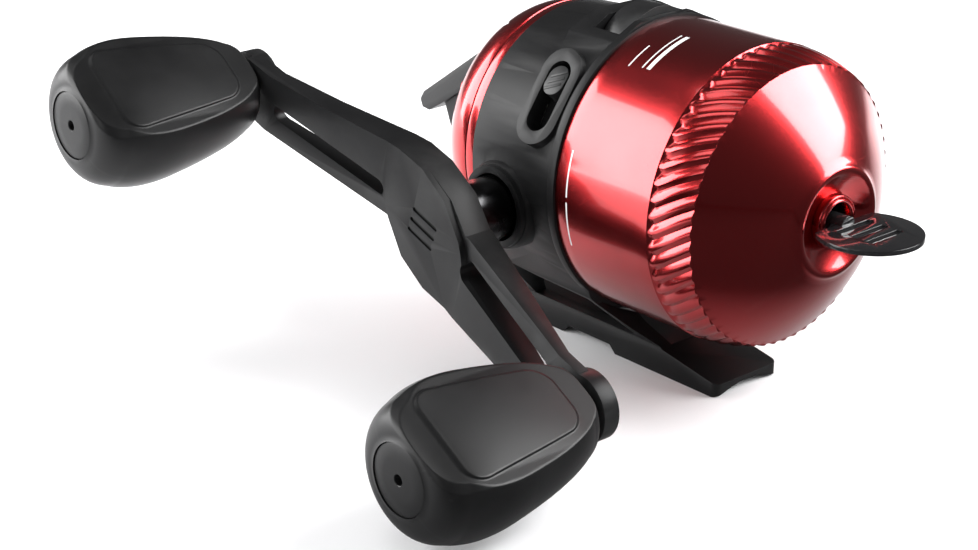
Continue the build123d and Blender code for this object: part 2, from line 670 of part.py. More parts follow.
with BuildPart() as drive_gear:
    # Disc with hub, then teeth whose lines run beside the crank axis at the spool axis's height.
    ring(GEAR_RIM - GEAR_DISC, GEAR_RIM, CRANK_R, GEAR_R, plane=CRANK_LATHE, axis=CRANK_AXIS)
    ring(GEAR_SEAT, GEAR_RIM - GEAR_DISC, CRANK_R, CRANK_R + 2.2, plane=CRANK_LATHE, axis=CRANK_AXIS)
    ring(GEAR_RIM - 0.9, GEAR_RIM, CRANK_R + 2.6, GEAR_R - 6.2, Mode.SUBTRACT, CRANK_LATHE, CRANK_AXIS)
    with BuildSketch(sideways(GEAR_RIM - GEAR_DISC - 1)) as holes:
        with PolarLocations(7.2, 6):
            Circle(1.5)
    extrude(holes.sketch, amount=GEAR_DISC + 2, mode=Mode.SUBTRACT)
    tip_x = -PINION_R + TOOTH_HEIGHT
    with BuildPart(mode=Mode.PRIVATE) as tooth:
        slab(
            Plane(
                origin=(0, MESH - GEAR_FACE / 2, AXIS_Z),
                x_dir=(1, 0, 0),
                z_dir=(0, -1, 0),
            ),
            [(GEAR_RIM - 0.3, -0.46), (tip_x, -0.17), (tip_x, 0.17), (GEAR_RIM - 0.3, 0.46)],
            -GEAR_FACE,
        )
    for number in range(GEAR_TEETH):
        add(tooth.part.rotate(CRANK_AXIS, number * 360 / GEAR_TEETH))
save(drive_gear, "drive_gear")

RATCHET_R = 7.0
RATCHET_TEETH = 12
with BuildPart() as ratchet_wheel:
    plane = sideways(RATCHET_BACK)
    with BuildSketch(plane) as saw:
        Circle(RATCHET_R - 1.3)
        with PolarLocations(0, RATCHET_TEETH):
            with BuildLine():
                Polyline(
                    (RATCHET_R - 2.2, 0),
                    (RATCHET_R, 0),
                    (RATCHET_R - 1.7, 2.6),
                    close=True,
                )
            make_face()
        Circle(CRANK_R, mode=Mode.SUBTRACT)
    extrude(saw.sketch, amount=RATCHET_THICK)
save(ratchet_wheel, "ratchet_wheel")

with BuildPart() as anti_reverse_pawl:
    with BuildSketch(sideways(RATCHET_BACK, CRANK_Y + PAWL_PIVOT[0], CRANK_Z + PAWL_PIVOT[1])) as arm:
        Circle(PAWL_PIN_R + 1.0)
        with BuildLine():
            Polyline((-0.6, -2.0), (-1.9, 0.6), (-4.6, -0.5), (-5.4, -1.2), (-4.4, -1.8), close=True)
        make_face()
        Circle(PAWL_PIN_R + RUN, mode=Mode.SUBTRACT)
    extrude(arm.sketch, amount=RATCHET_THICK)
save(anti_reverse_pawl, "anti_reverse_pawl")

# ---- Handle: hub sleeve, double arm, knob spindles, knobs and their caps -------------------------
ARM_DIR = (0, cos(radians(HANDLE_ANGLE)), sin(radians(HANDLE_ANGLE)))
ARM_FACE = Plane(origin=(0, CRANK_Y, CRANK_Z), x_dir=ARM_DIR, z_dir=(1, 0, 0))
ARM_SIDE = Plane(origin=(0, CRANK_Y, CRANK_Z), x_dir=ARM_DIR, z_dir=(0, ARM_DIR[2], -ARM_DIR[1]))
SLOT_START, SLOT_END, SLOT_WIDTH = 10.5, 37.0, 3.4

SLEEVE_END = BUSH_STOP - BUSH_LIP - 0.5

with BuildPart() as hub_sleeve:
    ring(HUB_BACK, SLEEVE_END, CRANK_R, BOSS_BORE_R - 0.4, plane=CRANK_LATHE, axis=CRANK_AXIS)
save(hub_sleeve, "hub_sleeve")


def both_ends(points):
    """An outline given for one arm, repeated for the other by half a turn."""
    return points + [(-u, -v) for u, v in points]


def bend(face, back):
    """Side view of the arm: hub in the middle, ends set further out."""
    half = [
        (9.5, face),
        (ARM_RISE_END, ARM_END_FACE + face - HUB_FACE),
        (ARM_REACH, ARM_END_FACE + face - HUB_FACE),
        (ARM_REACH, back),
        (ARM_RISE_END, back),
        (9.0, HUB_BACK),
    ]
    return half + [(-u, x) for u, x in reversed(half)]


def arm_layer(outline, face):
    """One level of the arm: its face outline cut to the bent side view."""
    with BuildPart(mode=Mode.PRIVATE) as layer:
        slab(ARM_FACE.offset(ARM_END_FACE - 4), outline, HUB_BACK - ARM_END_FACE + 6)
        slab(ARM_SIDE, bend(face, ARM_END_BACK), 20, mode=Mode.INTERSECT, both=True)
    return layer.part


ARM_RISE_END = 38.0
ARM_REACH = HANDLE_REACH + ARM_BOSS_R + 1.0
ARM_OUTLINE = [
    (8.5, -4.4),
    (42.5, -5.3),
    (44.7, 5.6),
    (26.0, 7.4),
    (12.0, 9.4),
    (3.5, 9.8),
    (-3.5, 8.0),
]
FACE_OUTLINE = [
    (12.0, 1.7),
    (38.0, 1.7),
    (44.7, 5.6),
    (26.0, 7.4),
    (12.0, 9.4),
    (3.5, 9.8),
    (-3.0, 8.0),
    (-8.4, 3.4),
]
HUB_MARK = 6.4
HUB_MARK_PITCH = 2.0

with BuildPart() as handle_arm:
    add(arm_layer(both_ends(ARM_OUTLINE), HUB_FACE + ARM_STEP))
    add(arm_layer(both_ends(FACE_OUTLINE), HUB_FACE))
    for end in (-1, 1):
        with BuildSketch(ARM_FACE.offset(ARM_END_FACE + ARM_STEP)) as boss:
            with Locations((end * HANDLE_REACH, 0)):
                Circle(ARM_BOSS_R)
        extrude(boss.sketch, amount=ARM_BOSS_BACK - ARM_END_FACE - ARM_STEP)
        with BuildSketch(ARM_FACE.offset(ARM_END_FACE - 4)) as cuts:
            with Locations((end * (SLOT_START + SLOT_END) / 2, 0)):
                SlotOverall(SLOT_END - SLOT_START, SLOT_WIDTH)
            with Locations((end * HANDLE_REACH, 0)):
                Circle(SPINDLE_R)
        extrude(cuts.sketch, amount=HUB_BACK - ARM_END_FACE + 8, mode=Mode.SUBTRACT)
    ring(SHAFT_END - 0.1, HUB_BACK + 1, 0, CRANK_R, Mode.SUBTRACT, CRANK_LATHE, CRANK_AXIS)
    with BuildSketch(ARM_FACE.offset(HUB_FACE - 0.1)) as marks:
        with Locations((0, -HUB_MARK_PITCH), (0, 0), (0, HUB_MARK_PITCH)):
            SlotOverall(HUB_MARK, 0.7)
    extrude(marks.sketch, amount=0.5, mode=Mode.SUBTRACT)
save(handle_arm, "handle_arm")

SPINDLE_HEAD = KNOB_OUTER + 2.8
KNOB_CAP_THICK = 1.6
KNOB_FULLEST = KNOB_OUTER + 10.5

for side, sign in (("near", -1), ("far", 1)):
    knob_y = CRANK_Y + sign * HANDLE_REACH * ARM_DIR[1]
    knob_z = CRANK_Z + sign * HANDLE_REACH * ARM_DIR[2]
    knob_axis = Axis((0, knob_y, knob_z), (1, 0, 0))
    knob_lathe = Plane(origin=(0, knob_y, knob_z), x_dir=(1, 0, 0), z_dir=(0, -1, 0))
    facing = radians(KNOB_FACES[side])
    with BuildPart() as knob:
        with BuildSketch(knob_lathe) as knob_half:
            with BuildLine():
                Line((KNOB_OUTER, 0), (KNOB_OUTER, KNOB_CAP_R))
                Spline(
                    (KNOB_OUTER, KNOB_CAP_R),
                    (KNOB_OUTER + 2.6, KNOB_R - 1.9),
                    (KNOB_FULLEST, KNOB_R),
                    (KNOB_INNER - 9.0, KNOB_R - 2.6),
                    (KNOB_INNER, KNOB_NECK_R),
                )
                Line((KNOB_INNER, KNOB_NECK_R), (KNOB_INNER, 0))
                Line((KNOB_INNER, 0), (KNOB_OUTER, 0))
            make_face()
        revolve(knob_half.sketch, axis=knob_axis)
        # A flat side that closes in towards the handle, and a slighter one opposite.
        for way, out_by in ((0, 0), (radians(180), KNOB_BACK_FLAT)):
            out = (0, cos(facing + way), sin(facing + way))
            flat = Plane(origin=(0, knob_y, knob_z), x_dir=(1, 0, 0), z_dir=(0, out[2], -out[1]))
            slab(
                flat,
                [
                    (KNOB_OUTER - 1, KNOB_FLAT_OUT + out_by),
                    (KNOB_INNER + 1, KNOB_FLAT_IN + out_by),
                    (KNOB_INNER + 1, 2 * KNOB_R),
                    (KNOB_OUTER - 1, 2 * KNOB_R),
                ],
                2 * KNOB_R,
                mode=Mode.SUBTRACT,
                both=True,
            )
        ring(KNOB_OUTER - 1, KNOB_INNER + 1, 0, SPINDLE_R + RUN, Mode.SUBTRACT, knob_lathe, knob_axis)
        ring(KNOB_OUTER - 1, SPINDLE_HEAD + 0.4, 0, KNOB_CAP_R, Mode.SUBTRACT, knob_lathe, knob_axis)
    save(knob, f"knob_{side}")
    with BuildPart() as cap:
        ring(KNOB_OUTER, KNOB_OUTER + KNOB_CAP_THICK, 0.85, KNOB_CAP_R, plane=knob_lathe, axis=knob_axis)
    save(cap, f"knob_cap_{side}")
    with BuildPart() as spindle:
        ring(SPINDLE_HEAD, ARM_BOSS_BACK - 0.4, 0, SPINDLE_R, plane=knob_lathe, axis=knob_axis)
        ring(SPINDLE_HEAD - 0.8, SPINDLE_HEAD, 0, SPINDLE_R + 1.6, plane=knob_lathe, axis=knob_axis)
    save(spindle, f"knob_spindle_{side}")

# ---- Pinion, centre shaft and its return spring --------------------------------------------------
PINION_FRONT = MESH - GEAR_FACE / 2 - 0.6
PINION_BACK = MESH + GEAR_FACE / 2 + 0.6
SHAFT_FLAT = 1.2
CLIP_STATION = 9.0

with BuildPart() as pinion_gear:
    toothed(
        across(PINION_BACK),
        PINION_TEETH,
        PINION_R - TOOTH_ROOT,
        PINION_R + TOOTH_HEIGHT,
        0.95,
        0.34,
        PINION_BACK - PINION_FRONT,
        start=180 / PINION_TEETH,
    )
    ring(DECK_FRONT + 0.8, PINION_FRONT, 0, PINION_JOURNAL_R)
    ring(PINION_BACK, PINION_BACK + 1.2, 0, 2.1)
    with BuildSketch(across(PINION_BACK + 2)) as bore:
        Circle(SHAFT_R + RUN)
        with Locations((0, SHAFT_FLAT + RUN + 1)):
            Rectangle(4, 2, mode=Mode.SUBTRACT)
    extrude(bore.sketch, amount=20, mode=Mode.SUBTRACT)
save(pinion_gear, "pinion_gear")

with BuildPart() as center_shaft:
    turn(
        [
            (SHAFT_FRONT, 0),
            (SHAFT_FRONT, SHAFT_R - 0.3),
            (SHAFT_FRONT + 0.3, SHAFT_R),
            (SHAFT_BACK - 0.9, SHAFT_R),
            (SHAFT_BACK - 0.25, 1.0),
            (SHAFT_BACK, 0),
        ]
    )
    slab(
        across(CLIP_STATION - 4),
        [(-3, SHAFT_FLAT), (-3, 3), (3, 3), (3, SHAFT_FLAT)],
        CLIP_STATION - 4 + 25,
        mode=Mode.SUBTRACT,
    )
    ring(CLIP_STATION, CLIP_STATION + 0.7, SHAFT_R - 0.35, SHAFT_R + 1, mode=Mode.SUBTRACT)
save(center_shaft, "center_shaft")

with BuildPart() as shaft_clip:
    ring(CLIP_STATION, CLIP_STATION + 0.7, SHAFT_R - 0.35, 2.8)
    slab(across(CLIP_STATION + 1), [(-1.0, 0), (1.0, 0), (1.0, 4), (-1.0, 4)], 2, mode=Mode.SUBTRACT)
save(shaft_clip, "shaft_clip")

SPRING_R, WIRE_R, SPRING_TURNS = 2.05, 0.25, 6
spring_start = PINION_BACK + 1.2 + WIRE_R + 0.05
spring_end = CLIP_STATION - WIRE_R - 0.05
with BuildPart() as shaft_spring:
    with BuildLine() as coil:
        Helix(
            pitch=(spring_end - spring_start) / SPRING_TURNS,
            height=spring_end - spring_start,
            radius=SPRING_R,
            center=(0, spring_start, AXIS_Z),
            direction=(0, 1, 0),
        )
    with BuildSketch(Plane(origin=coil.line @ 0, z_dir=coil.line % 0)):
        Circle(WIRE_R)
    sweep(path=coil.line)
save(shaft_spring, "shaft_spring")

# ---- Spinner head, its nut and the pickup pin ----------------------------------------------------
HEAD_FRONT = -34.8
SKIRT_BACK = -26.4
PIN_STATION = -31.4
PIN_R = 0.8

with BuildPart() as spinner_head:
    turn(
        [
            (HEAD_FRONT, SHAFT_R),
            (HEAD_FRONT, SPINNER_R - 2.2),
            (HEAD_FRONT + 0.7, SPINNER_R - 0.7),
            (HEAD_FRONT + 2.2, SPINNER_R),
            (SKIRT_BACK, SPINNER_R),
            (SKIRT_BACK, SPINNER_R - 1.2),
            (HEAD_FRONT + 1.4, SPINNER_R - 1.2),
            (HEAD_FRONT + 1.4, 4.0),
            (HEAD_FRONT + 3.4, 4.0),
            (HEAD_FRONT + 3.4, SHAFT_R),
        ]
    )
    slab(
        across(PIN_STATION + 1.5),
        [(-2.0, 12.0), (2.0, 12.0), (2.0, SPINNER_R - 1.0), (-2.0, SPINNER_R - 1.0)],
        PIN_STATION + 1.5 - HEAD_FRONT - 0.5,
    )
    disc(Plane(origin=(0, PIN_STATION, AXIS_Z + 8)), PIN_R + RUN, 16, mode=Mode.SUBTRACT)
    with BuildSketch(across(HEAD_FRONT + 2)) as lightening:
        with PolarLocations(11.0, 6, start_angle=0):
            Circle(2.0)
    extrude(lightening.sketch, amount=4, mode=Mode.SUBTRACT)
save(spinner_head, "spinner_head")

with BuildPart() as head_nut:
    with BuildSketch(across(HEAD_FRONT - 0.02)) as hexagon:
        RegularPolygon(3.1, 6)
        Circle(SHAFT_R, mode=Mode.SUBTRACT)
    extrude(hexagon.sketch, amount=2.3)
save(head_nut, "head_nut")

with BuildPart() as pickup_pin:
    disc(Plane(origin=(0, PIN_STATION, AXIS_Z + 12.6)), PIN_R, 8.2)
    fillet(pickup_pin.edges().sort_by(Axis.Z)[-1], radius=0.5)
save(pickup_pin, "pickup_pin")

# ---- Spool with its line, click gear, drag washer, pressure plate and clip -----------------------
SPOOL_BACK = -15.6
SPOOL_FRONT = -29.0
FLANGE = 1.5
LINE_R = 14.6

with BuildPart() as line_spool:
    ring(SPOOL_BACK - FLANGE, SPOOL_BACK, SLEEVE_R + RUN, SPOOL_R)
    ring(SPOOL_FRONT, SPOOL_BACK - FLANGE, SLEEVE_R + RUN, SPOOL_HUB_R)
    ring(SPOOL_FRONT, SPOOL_FRONT + FLANGE - 0.3, SPOOL_HUB_R, SPOOL_R - 0.7)
save(line_spool, "line_spool")

with BuildPart() as line_winding:
    turn(
        [
            (SPOOL_BACK - FLANGE - 0.02, SPOOL_HUB_R + 0.02),
            (SPOOL_FRONT + FLANGE - 0.28, SPOOL_HUB_R + 0.02),
            (SPOOL_FRONT + FLANGE - 0.28, LINE_R - 0.3),
            (SPOOL_FRONT + FLANGE + 3.5, LINE_R),
            (SPOOL_BACK - FLANGE - 3.5, LINE_R),
            (SPOOL_BACK - FLANGE - 0.02, LINE_R - 0.3),
        ]
    )
save(line_winding, "line_winding")

CLICK_R = 16.3
with BuildPart() as click_gear:
    toothed(across(SPOOL_BACK + 1.0), 36, CLICK_R - 0.9, CLICK_R, 1.5, 0.5, 1.0)
    disc(across(SPOOL_BACK + 2), 13.4, 3, mode=Mode.SUBTRACT)
save(click_gear, "click_gear")

with BuildPart() as drag_washer:
    ring(SPOOL_BACK, SPOOL_BACK + 0.6, SLEEVE_R + 0.4, 12.8)
save(drag_washer, "drag_washer")

PLATE_FRONT = SPOOL_BACK + 0.95
PIN_BACK = WHEEL_FRONT - 0.35
with BuildPart() as pressure_plate:
    ring(PLATE_FRONT, PLATE_FRONT + 0.7, SLEEVE_R + 0.4, 12.8)
    disc(across(PIN_BACK, up=DRAG_PIN_UP), DRAG_PIN_R, PIN_BACK - PLATE_FRONT - 0.3)
save(pressure_plate, "pressure_plate")

with BuildPart() as spool_clip:
    ring(SLEEVE_FRONT + 0.7, SLEEVE_FRONT + 1.5, SLEEVE_R - 0.5, SLEEVE_R + 1.4)
    slab(across(SLEEVE_FRONT + 2), [(-2.4, 0), (2.4, 0), (2.4, -9), (-2.4, -9)], 3, mode=Mode.SUBTRACT)
save(spool_clip, "spool_clip")

# ---- Drag wheel on its axle ----------------------------------------------------------------------
with BuildPart() as drag_axle:
    disc(across(WHEEL_BACK + 1.6, up=WHEEL_UP), 1.5, WHEEL_BACK + 1.6 - DECK_FRONT - 0.1)
    disc(across(WHEEL_BACK + 1.0, up=WHEEL_UP), 2.6, 0.6)
save(drag_axle, "drag_axle")

WHEEL_RIBS = 22
with BuildPart() as drag_wheel:
    toothed(
        across(WHEEL_BACK, up=WHEEL_UP),
        WHEEL_RIBS,
        WHEEL_R - 0.9,
        WHEEL_R,
        2.0,
        1.2,
        WHEEL_BACK - WHEEL_FRONT,
    )
    disc(across(WHEEL_BACK + 1, up=WHEEL_UP), 1.5 + RUN, 9, mode=Mode.SUBTRACT)
    with BuildSketch(across(WHEEL_BACK, up=WHEEL_UP)) as recess:
        Circle(WHEEL_R - 2.4)
        Circle(3.4, mode=Mode.SUBTRACT)
    extrude(recess.sketch, amount=1.6, mode=Mode.SUBTRACT)
save(drag_wheel, "drag_wheel")

# ---- Bite alert switch and clicker pawl ----------------------------------------------------------
SECTOR_IN, SECTOR_OUT = COLLAR_BORE_R - 1.5, COLLAR_BORE_R - GAP
SECTOR_HALF = 19.0  # degrees each side of the slot's middle at rest

with BuildPart() as bite_switch:
    with BuildSketch(across(SWITCH_STATION + 2.7)) as sector:
        Circle(SECTOR_OUT)
        Circle(SECTOR_IN, mode=Mode.SUBTRACT)
        reach = 2 * COLLAR_R
        first, last = radians(SWITCH_REST - SECTOR_HALF + 4), radians(SWITCH_REST + SECTOR_HALF + 2)
        with BuildLine():
            Polyline(
                (0, 0),
                (reach * cos(first), reach * sin(first)),
                (reach * cos(last), reach * sin(last)),
                close=True,
            )
        make_face(mode=Mode.INTERSECT)
    extrude(sector.sketch, amount=5.4)
    with BuildSketch(slot_plane(SWITCH_REST, SECTOR_OUT - 0.6)) as thumb_piece:
        SlotOverall(5.4, SWITCH_SLOT_WIDTH - 2 * GAP)
    extrude(thumb_piece.sketch, amount=COLLAR_R - SECTOR_OUT + 1.5)
save(bite_switch, "bite_switch")

with BuildPart() as clicker_pawl:
    with BuildSketch(across(DECK_FRONT - 0.4, up=CLICK_PIVOT[1], side=CLICK_PIVOT[0])) as finger:
        Circle(CLICK_PIN_R + 0.9)
        with BuildLine():
            Polyline((-0.9, -0.9), (-0.4, -4.4), (0.5, -4.4), (1.4, -0.9), close=True)
        make_face()
        Circle(CLICK_PIN_R + RUN, mode=Mode.SUBTRACT)
    extrude(finger.sketch, amount=1.1)
save(clicker_pawl, "clicker_pawl")

# ---- Thumb button and its pivot pin --------------------------------------------------------------
BAND = [
    (17.4, 18.6),
    (18.6, 18.8),
    (42.4, 2.2),
    (43.5, 0.6),
    (42.9, -0.9),
    (41.0, -1.1),
    (37.2, 1.2),
    (20.6, 12.2),
    (16.6, 15.4),
]
SKIRT = [
    (20.0, 14.0),
    (38.0, 1.4),
    (36.4, -2.6),
    (33.4, -8.0),
    (28.4, -13.2),
    (24.4, -13.2),
    (22.2, -10.0),
    (22.2, 6.0),
    (19.4, 11.0),
]
HOLLOW = [(21.4, 9.8), (31.6, 2.9), (33.6, -2.4), (30.6, -8.0), (26.6, -14), (21, -14), (21, 9)]
RIB = [(SHAFT_BACK + 0.35, 9.6), (32.0, 3.0), (32.0, -2.4), (SHAFT_BACK + 0.35, -2.4)]

with BuildPart() as thumb_button:
    slab(LATHE, BAND, BUTTON_WIDTH / 2, both=True)
    fillet(thumb_button.edges().filter_by(Axis.X).group_by(Axis.Y)[-1], radius=0.8)
    slab(LATHE, SKIRT, BUTTON_WIDTH / 2 - 1.1, both=True)
    slab(LATHE, HOLLOW, BUTTON_WIDTH / 2 - 2.7, mode=Mode.SUBTRACT, both=True)
    slab(LATHE, RIB, 2.0, both=True)
    pivot = sideways(-BUTTON_WIDTH / 2, BUTTON_PIVOT_Y, AXIS_Z + BUTTON_PIVOT_UP)
    disc(pivot, 2.3, BUTTON_WIDTH)
    disc(pivot, BUTTON_PIN_R + RUN, BUTTON_WIDTH, mode=Mode.SUBTRACT)
save(thumb_button, "thumb_button")

with BuildPart() as button_pin:
    disc(
        sideways(-LUG_OUT + 0.1, BUTTON_PIVOT_Y, AXIS_Z + BUTTON_PIVOT_UP),
        BUTTON_PIN_R,
        2 * LUG_OUT - 0.2,
    )
save(button_pin, "button_pin")
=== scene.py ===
"""A small closed-face fishing reel: red anodised covers on a black body, crank, knobs and keeper tab.

Everything shown is in metres, in the reel's own frame: the foot stands on z = 0, the spool axis lies
along Y with the nose towards -Y, and the crank comes out on the -X side.
"""
import json
import math

import bmesh
import bpy
from mathutils import Matrix, Vector


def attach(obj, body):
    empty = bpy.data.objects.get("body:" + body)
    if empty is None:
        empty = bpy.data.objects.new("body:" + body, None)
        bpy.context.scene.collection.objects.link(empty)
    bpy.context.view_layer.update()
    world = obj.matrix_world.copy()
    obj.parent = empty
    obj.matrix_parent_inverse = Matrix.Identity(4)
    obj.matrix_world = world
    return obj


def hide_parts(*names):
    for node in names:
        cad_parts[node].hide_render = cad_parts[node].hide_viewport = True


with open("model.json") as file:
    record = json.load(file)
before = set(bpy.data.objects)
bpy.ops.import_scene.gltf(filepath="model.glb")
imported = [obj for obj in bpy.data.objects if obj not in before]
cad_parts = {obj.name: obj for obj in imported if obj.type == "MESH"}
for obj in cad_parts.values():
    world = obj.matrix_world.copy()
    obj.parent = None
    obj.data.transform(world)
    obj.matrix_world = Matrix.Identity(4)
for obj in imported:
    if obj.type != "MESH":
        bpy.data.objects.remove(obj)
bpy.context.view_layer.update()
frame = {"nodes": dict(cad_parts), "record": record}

MM = 0.001
nodes = frame["nodes"]

# ---- Studio: floor, lights and camera --------------------------------------------------------
# A pale sweep under the reel and four soft boxes: large ones behind on the handle side and in
# front on the far side, and weak ones overhead and in front of the handle.
CAMERA_AIM = Vector((-0.0231, 0.0087, 0.0143))
CAMERA_DISTANCE = 0.36
CAMERA_AZIMUTH = math.radians(-41.08)
CAMERA_ELEVATION = math.radians(22.38)
CAMERA_LENS = 77.3
FLOOR_SIZE = 4.0


def direction(azimuth, elevation):
    """Unit vector towards a place given like a camera's: azimuth 0 is in front of the nose."""
    level = math.cos(elevation)
    return Vector((math.sin(azimuth) * level, -math.cos(azimuth) * level, math.sin(elevation)))


def soft_box(name, azimuth, elevation, distance, width, height, power, colour=(1, 1, 1)):
    """A rectangular lamp that faces the reel."""
    lamp = bpy.data.lights.new(name, "AREA")
    lamp.shape = "RECTANGLE"
    lamp.size, lamp.size_y = width, height
    lamp.energy = power
    lamp.color = colour
    holder = bpy.data.objects.new(name, lamp)
    bpy.context.scene.collection.objects.link(holder)
    outward = direction(math.radians(azimuth), math.radians(elevation))
    holder.location = CAMERA_AIM + outward * distance
    holder.rotation_mode = "QUATERNION"
    holder.rotation_quaternion = outward.to_track_quat("Z", "Y")
    return holder


camera_data = bpy.data.cameras.new("camera")
camera_data.sensor_width = 36.0
camera_data.lens = CAMERA_LENS
camera_data.clip_start, camera_data.clip_end = 0.01, 20
camera = bpy.data.objects.new("camera", camera_data)
bpy.context.scene.collection.objects.link(camera)
camera_back = direction(CAMERA_AZIMUTH, CAMERA_ELEVATION)
camera.location = CAMERA_AIM + camera_back * CAMERA_DISTANCE
camera.rotation_mode = "QUATERNION"
camera.rotation_quaternion = camera_back.to_track_quat("Z", "Y")
bpy.context.scene.camera = camera

soft_box("box_behind_handle", -140, 14, 0.9, 0.95, 0.95, 22.0)
soft_box("box_front_far", 50, 36, 0.9, 0.6, 0.65, 15.0)
soft_box("box_overhead", -150, 72, 1.0, 0.5, 0.5, 1.6)
soft_box("box_front_handle", -78, 30, 1.1, 0.45, 0.45, 1.4)

ROOM_LIGHT = 0.32
ROOM_IN_GLOSS = 0.07
world = bpy.data.worlds.new("studio")
bpy.context.scene.world = world
world.use_nodes = True
room = world.node_tree
room.nodes["Background"].inputs["Color"].default_value = (1, 1, 1, 1)
# Gloss sees a dim room, so that the polished covers fall off to a deep tone between the boxes.
room_rays = room.nodes.new("ShaderNodeLightPath")
room_level = room.nodes.new("ShaderNodeMapRange")
room_level.inputs["To Min"].default_value = ROOM_LIGHT
room_level.inputs["To Max"].default_value = ROOM_IN_GLOSS
room.links.new(room_rays.outputs["Is Glossy Ray"], room_level.inputs["Value"])
room.links.new(room_level.outputs["Result"], room.nodes["Background"].inputs["Strength"])
bpy.context.scene.view_settings.view_transform = "Standard"

floor_shape = bmesh.new()
bmesh.ops.create_grid(floor_shape, x_segments=1, y_segments=1, size=FLOOR_SIZE / 2)
floor_mesh = bpy.data.meshes.new("floor")
floor_shape.to_mesh(floor_mesh)
floor_shape.free()
floor = bpy.data.objects.new("floor", floor_mesh)
bpy.context.scene.collection.objects.link(floor)

floor_paper = bpy.data.materials.new("floor_paper")
floor_paper.use_nodes = True
floor_nodes = floor_paper.node_tree.nodes
floor_nodes["Principled BSDF"].inputs["Base Color"].default_value = (0.92, 0.92, 0.93, 1)
floor_nodes["Principled BSDF"].inputs["Roughness"].default_value = 0.9
floor_nodes["Principled BSDF"].inputs["Specular IOR Level"].default_value = 0.1
# Painted reflection: in gloss the floor in front of the nose is painted dark, like a black card laid there,
# and pale behind, so the covers reflect a dark band; seen directly, the floor stays evenly pale.
floor_place = floor_nodes.new("ShaderNodeTexCoord")
floor_split = floor_nodes.new("ShaderNodeSeparateXYZ")
floor_front = floor_nodes.new("ShaderNodeMapRange")
floor_front.inputs["From Min"].default_value, floor_front.inputs["From Max"].default_value = 0.02, -0.06
floor_rays = floor_nodes.new("ShaderNodeLightPath")
floor_reflection_mask = floor_nodes.new("ShaderNodeMath")
floor_reflection_mask.operation = "MULTIPLY"
floor_painted_reflection_tone = floor_nodes.new("ShaderNodeMix")
floor_painted_reflection_tone.data_type = "RGBA"
floor_painted_reflection_tone.inputs[6].default_value = (0.92, 0.92, 0.93, 1)
# Painted reflection: the near black that only glossy rays see on the floor in front of the nose.
floor_painted_reflection_tone.inputs[7].default_value = (0.035, 0.035, 0.035, 1)
floor_links = floor_paper.node_tree.links
floor_links.new(floor_place.outputs["Object"], floor_split.inputs["Vector"])
floor_links.new(floor_split.outputs["Y"], floor_front.inputs["Value"])
floor_links.new(floor_front.outputs["Result"], floor_reflection_mask.inputs[0])
floor_links.new(floor_rays.outputs["Is Glossy Ray"], floor_reflection_mask.inputs[1])
floor_links.new(floor_reflection_mask.outputs["Value"], floor_painted_reflection_tone.inputs[0])
floor_links.new(floor_painted_reflection_tone.outputs[2], floor_nodes["Principled BSDF"].inputs["Base Color"])
floor_mesh.materials.append(floor_paper)

# ---- Front cover: drawn and turned aluminium cup ----------------------------------------------
# The real cover is drawn from aluminium sheet, turned on a lathe, rolled with a band of slanted
# flutes to grip, and anodised clear red over a bright finish. It pushes on the body's spigot.
AXIS_UP = 34.3 * MM
SPOOL_CENTRE = Vector((0, 0, AXIS_UP))
ALONG = Vector((0, 1, 0))
NOSE = -47.5
CONE_END, FLUTE_END, BARREL_START, SEAM = -38.0, -31.4, -30.2, -9.6
FLUTES = 58
STEPS_PER_FLUTE = 6
FLUTE_SLANT = math.radians(9.7)  # turn of a flute from its front end to its back end


def turned(outline, steps, centre, along, out):
    """A shape turned on a lathe: the closed outline of (station, radius) in mm is spun full circle."""
    shape = bmesh.new()
    places = [centre + along * station * MM + out * radius * MM for station, radius in outline]
    corners = [shape.verts.new(place) for place in places]
    edges = [shape.edges.new(pair) for pair in zip(corners, corners[1:] + corners[:1])]
    bmesh.ops.spin(
        shape, geom=corners + edges, cent=centre, axis=along, steps=steps, angle=math.tau, use_merge=True
    )
    bmesh.ops.remove_doubles(shape, verts=shape.verts, dist=1e-7)
    bmesh.ops.recalc_face_normals(shape, faces=shape.faces)
    return shape


def arc_through(start, middle, end, count):
    """Points on a smooth curve from start to end that passes the middle."""
    points = []
    for number in range(count):
        t = number / (count - 1)
        a, b, c = (1 - t) * (1 - 2 * t), 4 * t * (1 - t), t * (2 * t - 1)
        points.append((a * start[0] + b * middle[0] + c * end[0], a * start[1] + b * middle[1] + c * end[1]))
    return points


def settle(shape, name, finish, body, slot, *stands_for, sharp=35):
    """Makes a shape a piece: crisp corners, its finish, the body it rides on and the nodes it stands for."""
    mesh = bpy.data.meshes.new(name)
    shape.to_mesh(mesh)
    shape.free()
    mesh.polygons.foreach_set("use_smooth", [True] * len(mesh.polygons))
    mesh.set_sharp_from_angle(angle=math.radians(sharp))
    mesh.materials.append(finish)
    piece = bpy.data.objects.new(name, mesh)
    bpy.context.scene.collection.objects.link(piece)
    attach(piece, body)
    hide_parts(*stands_for)
    return piece


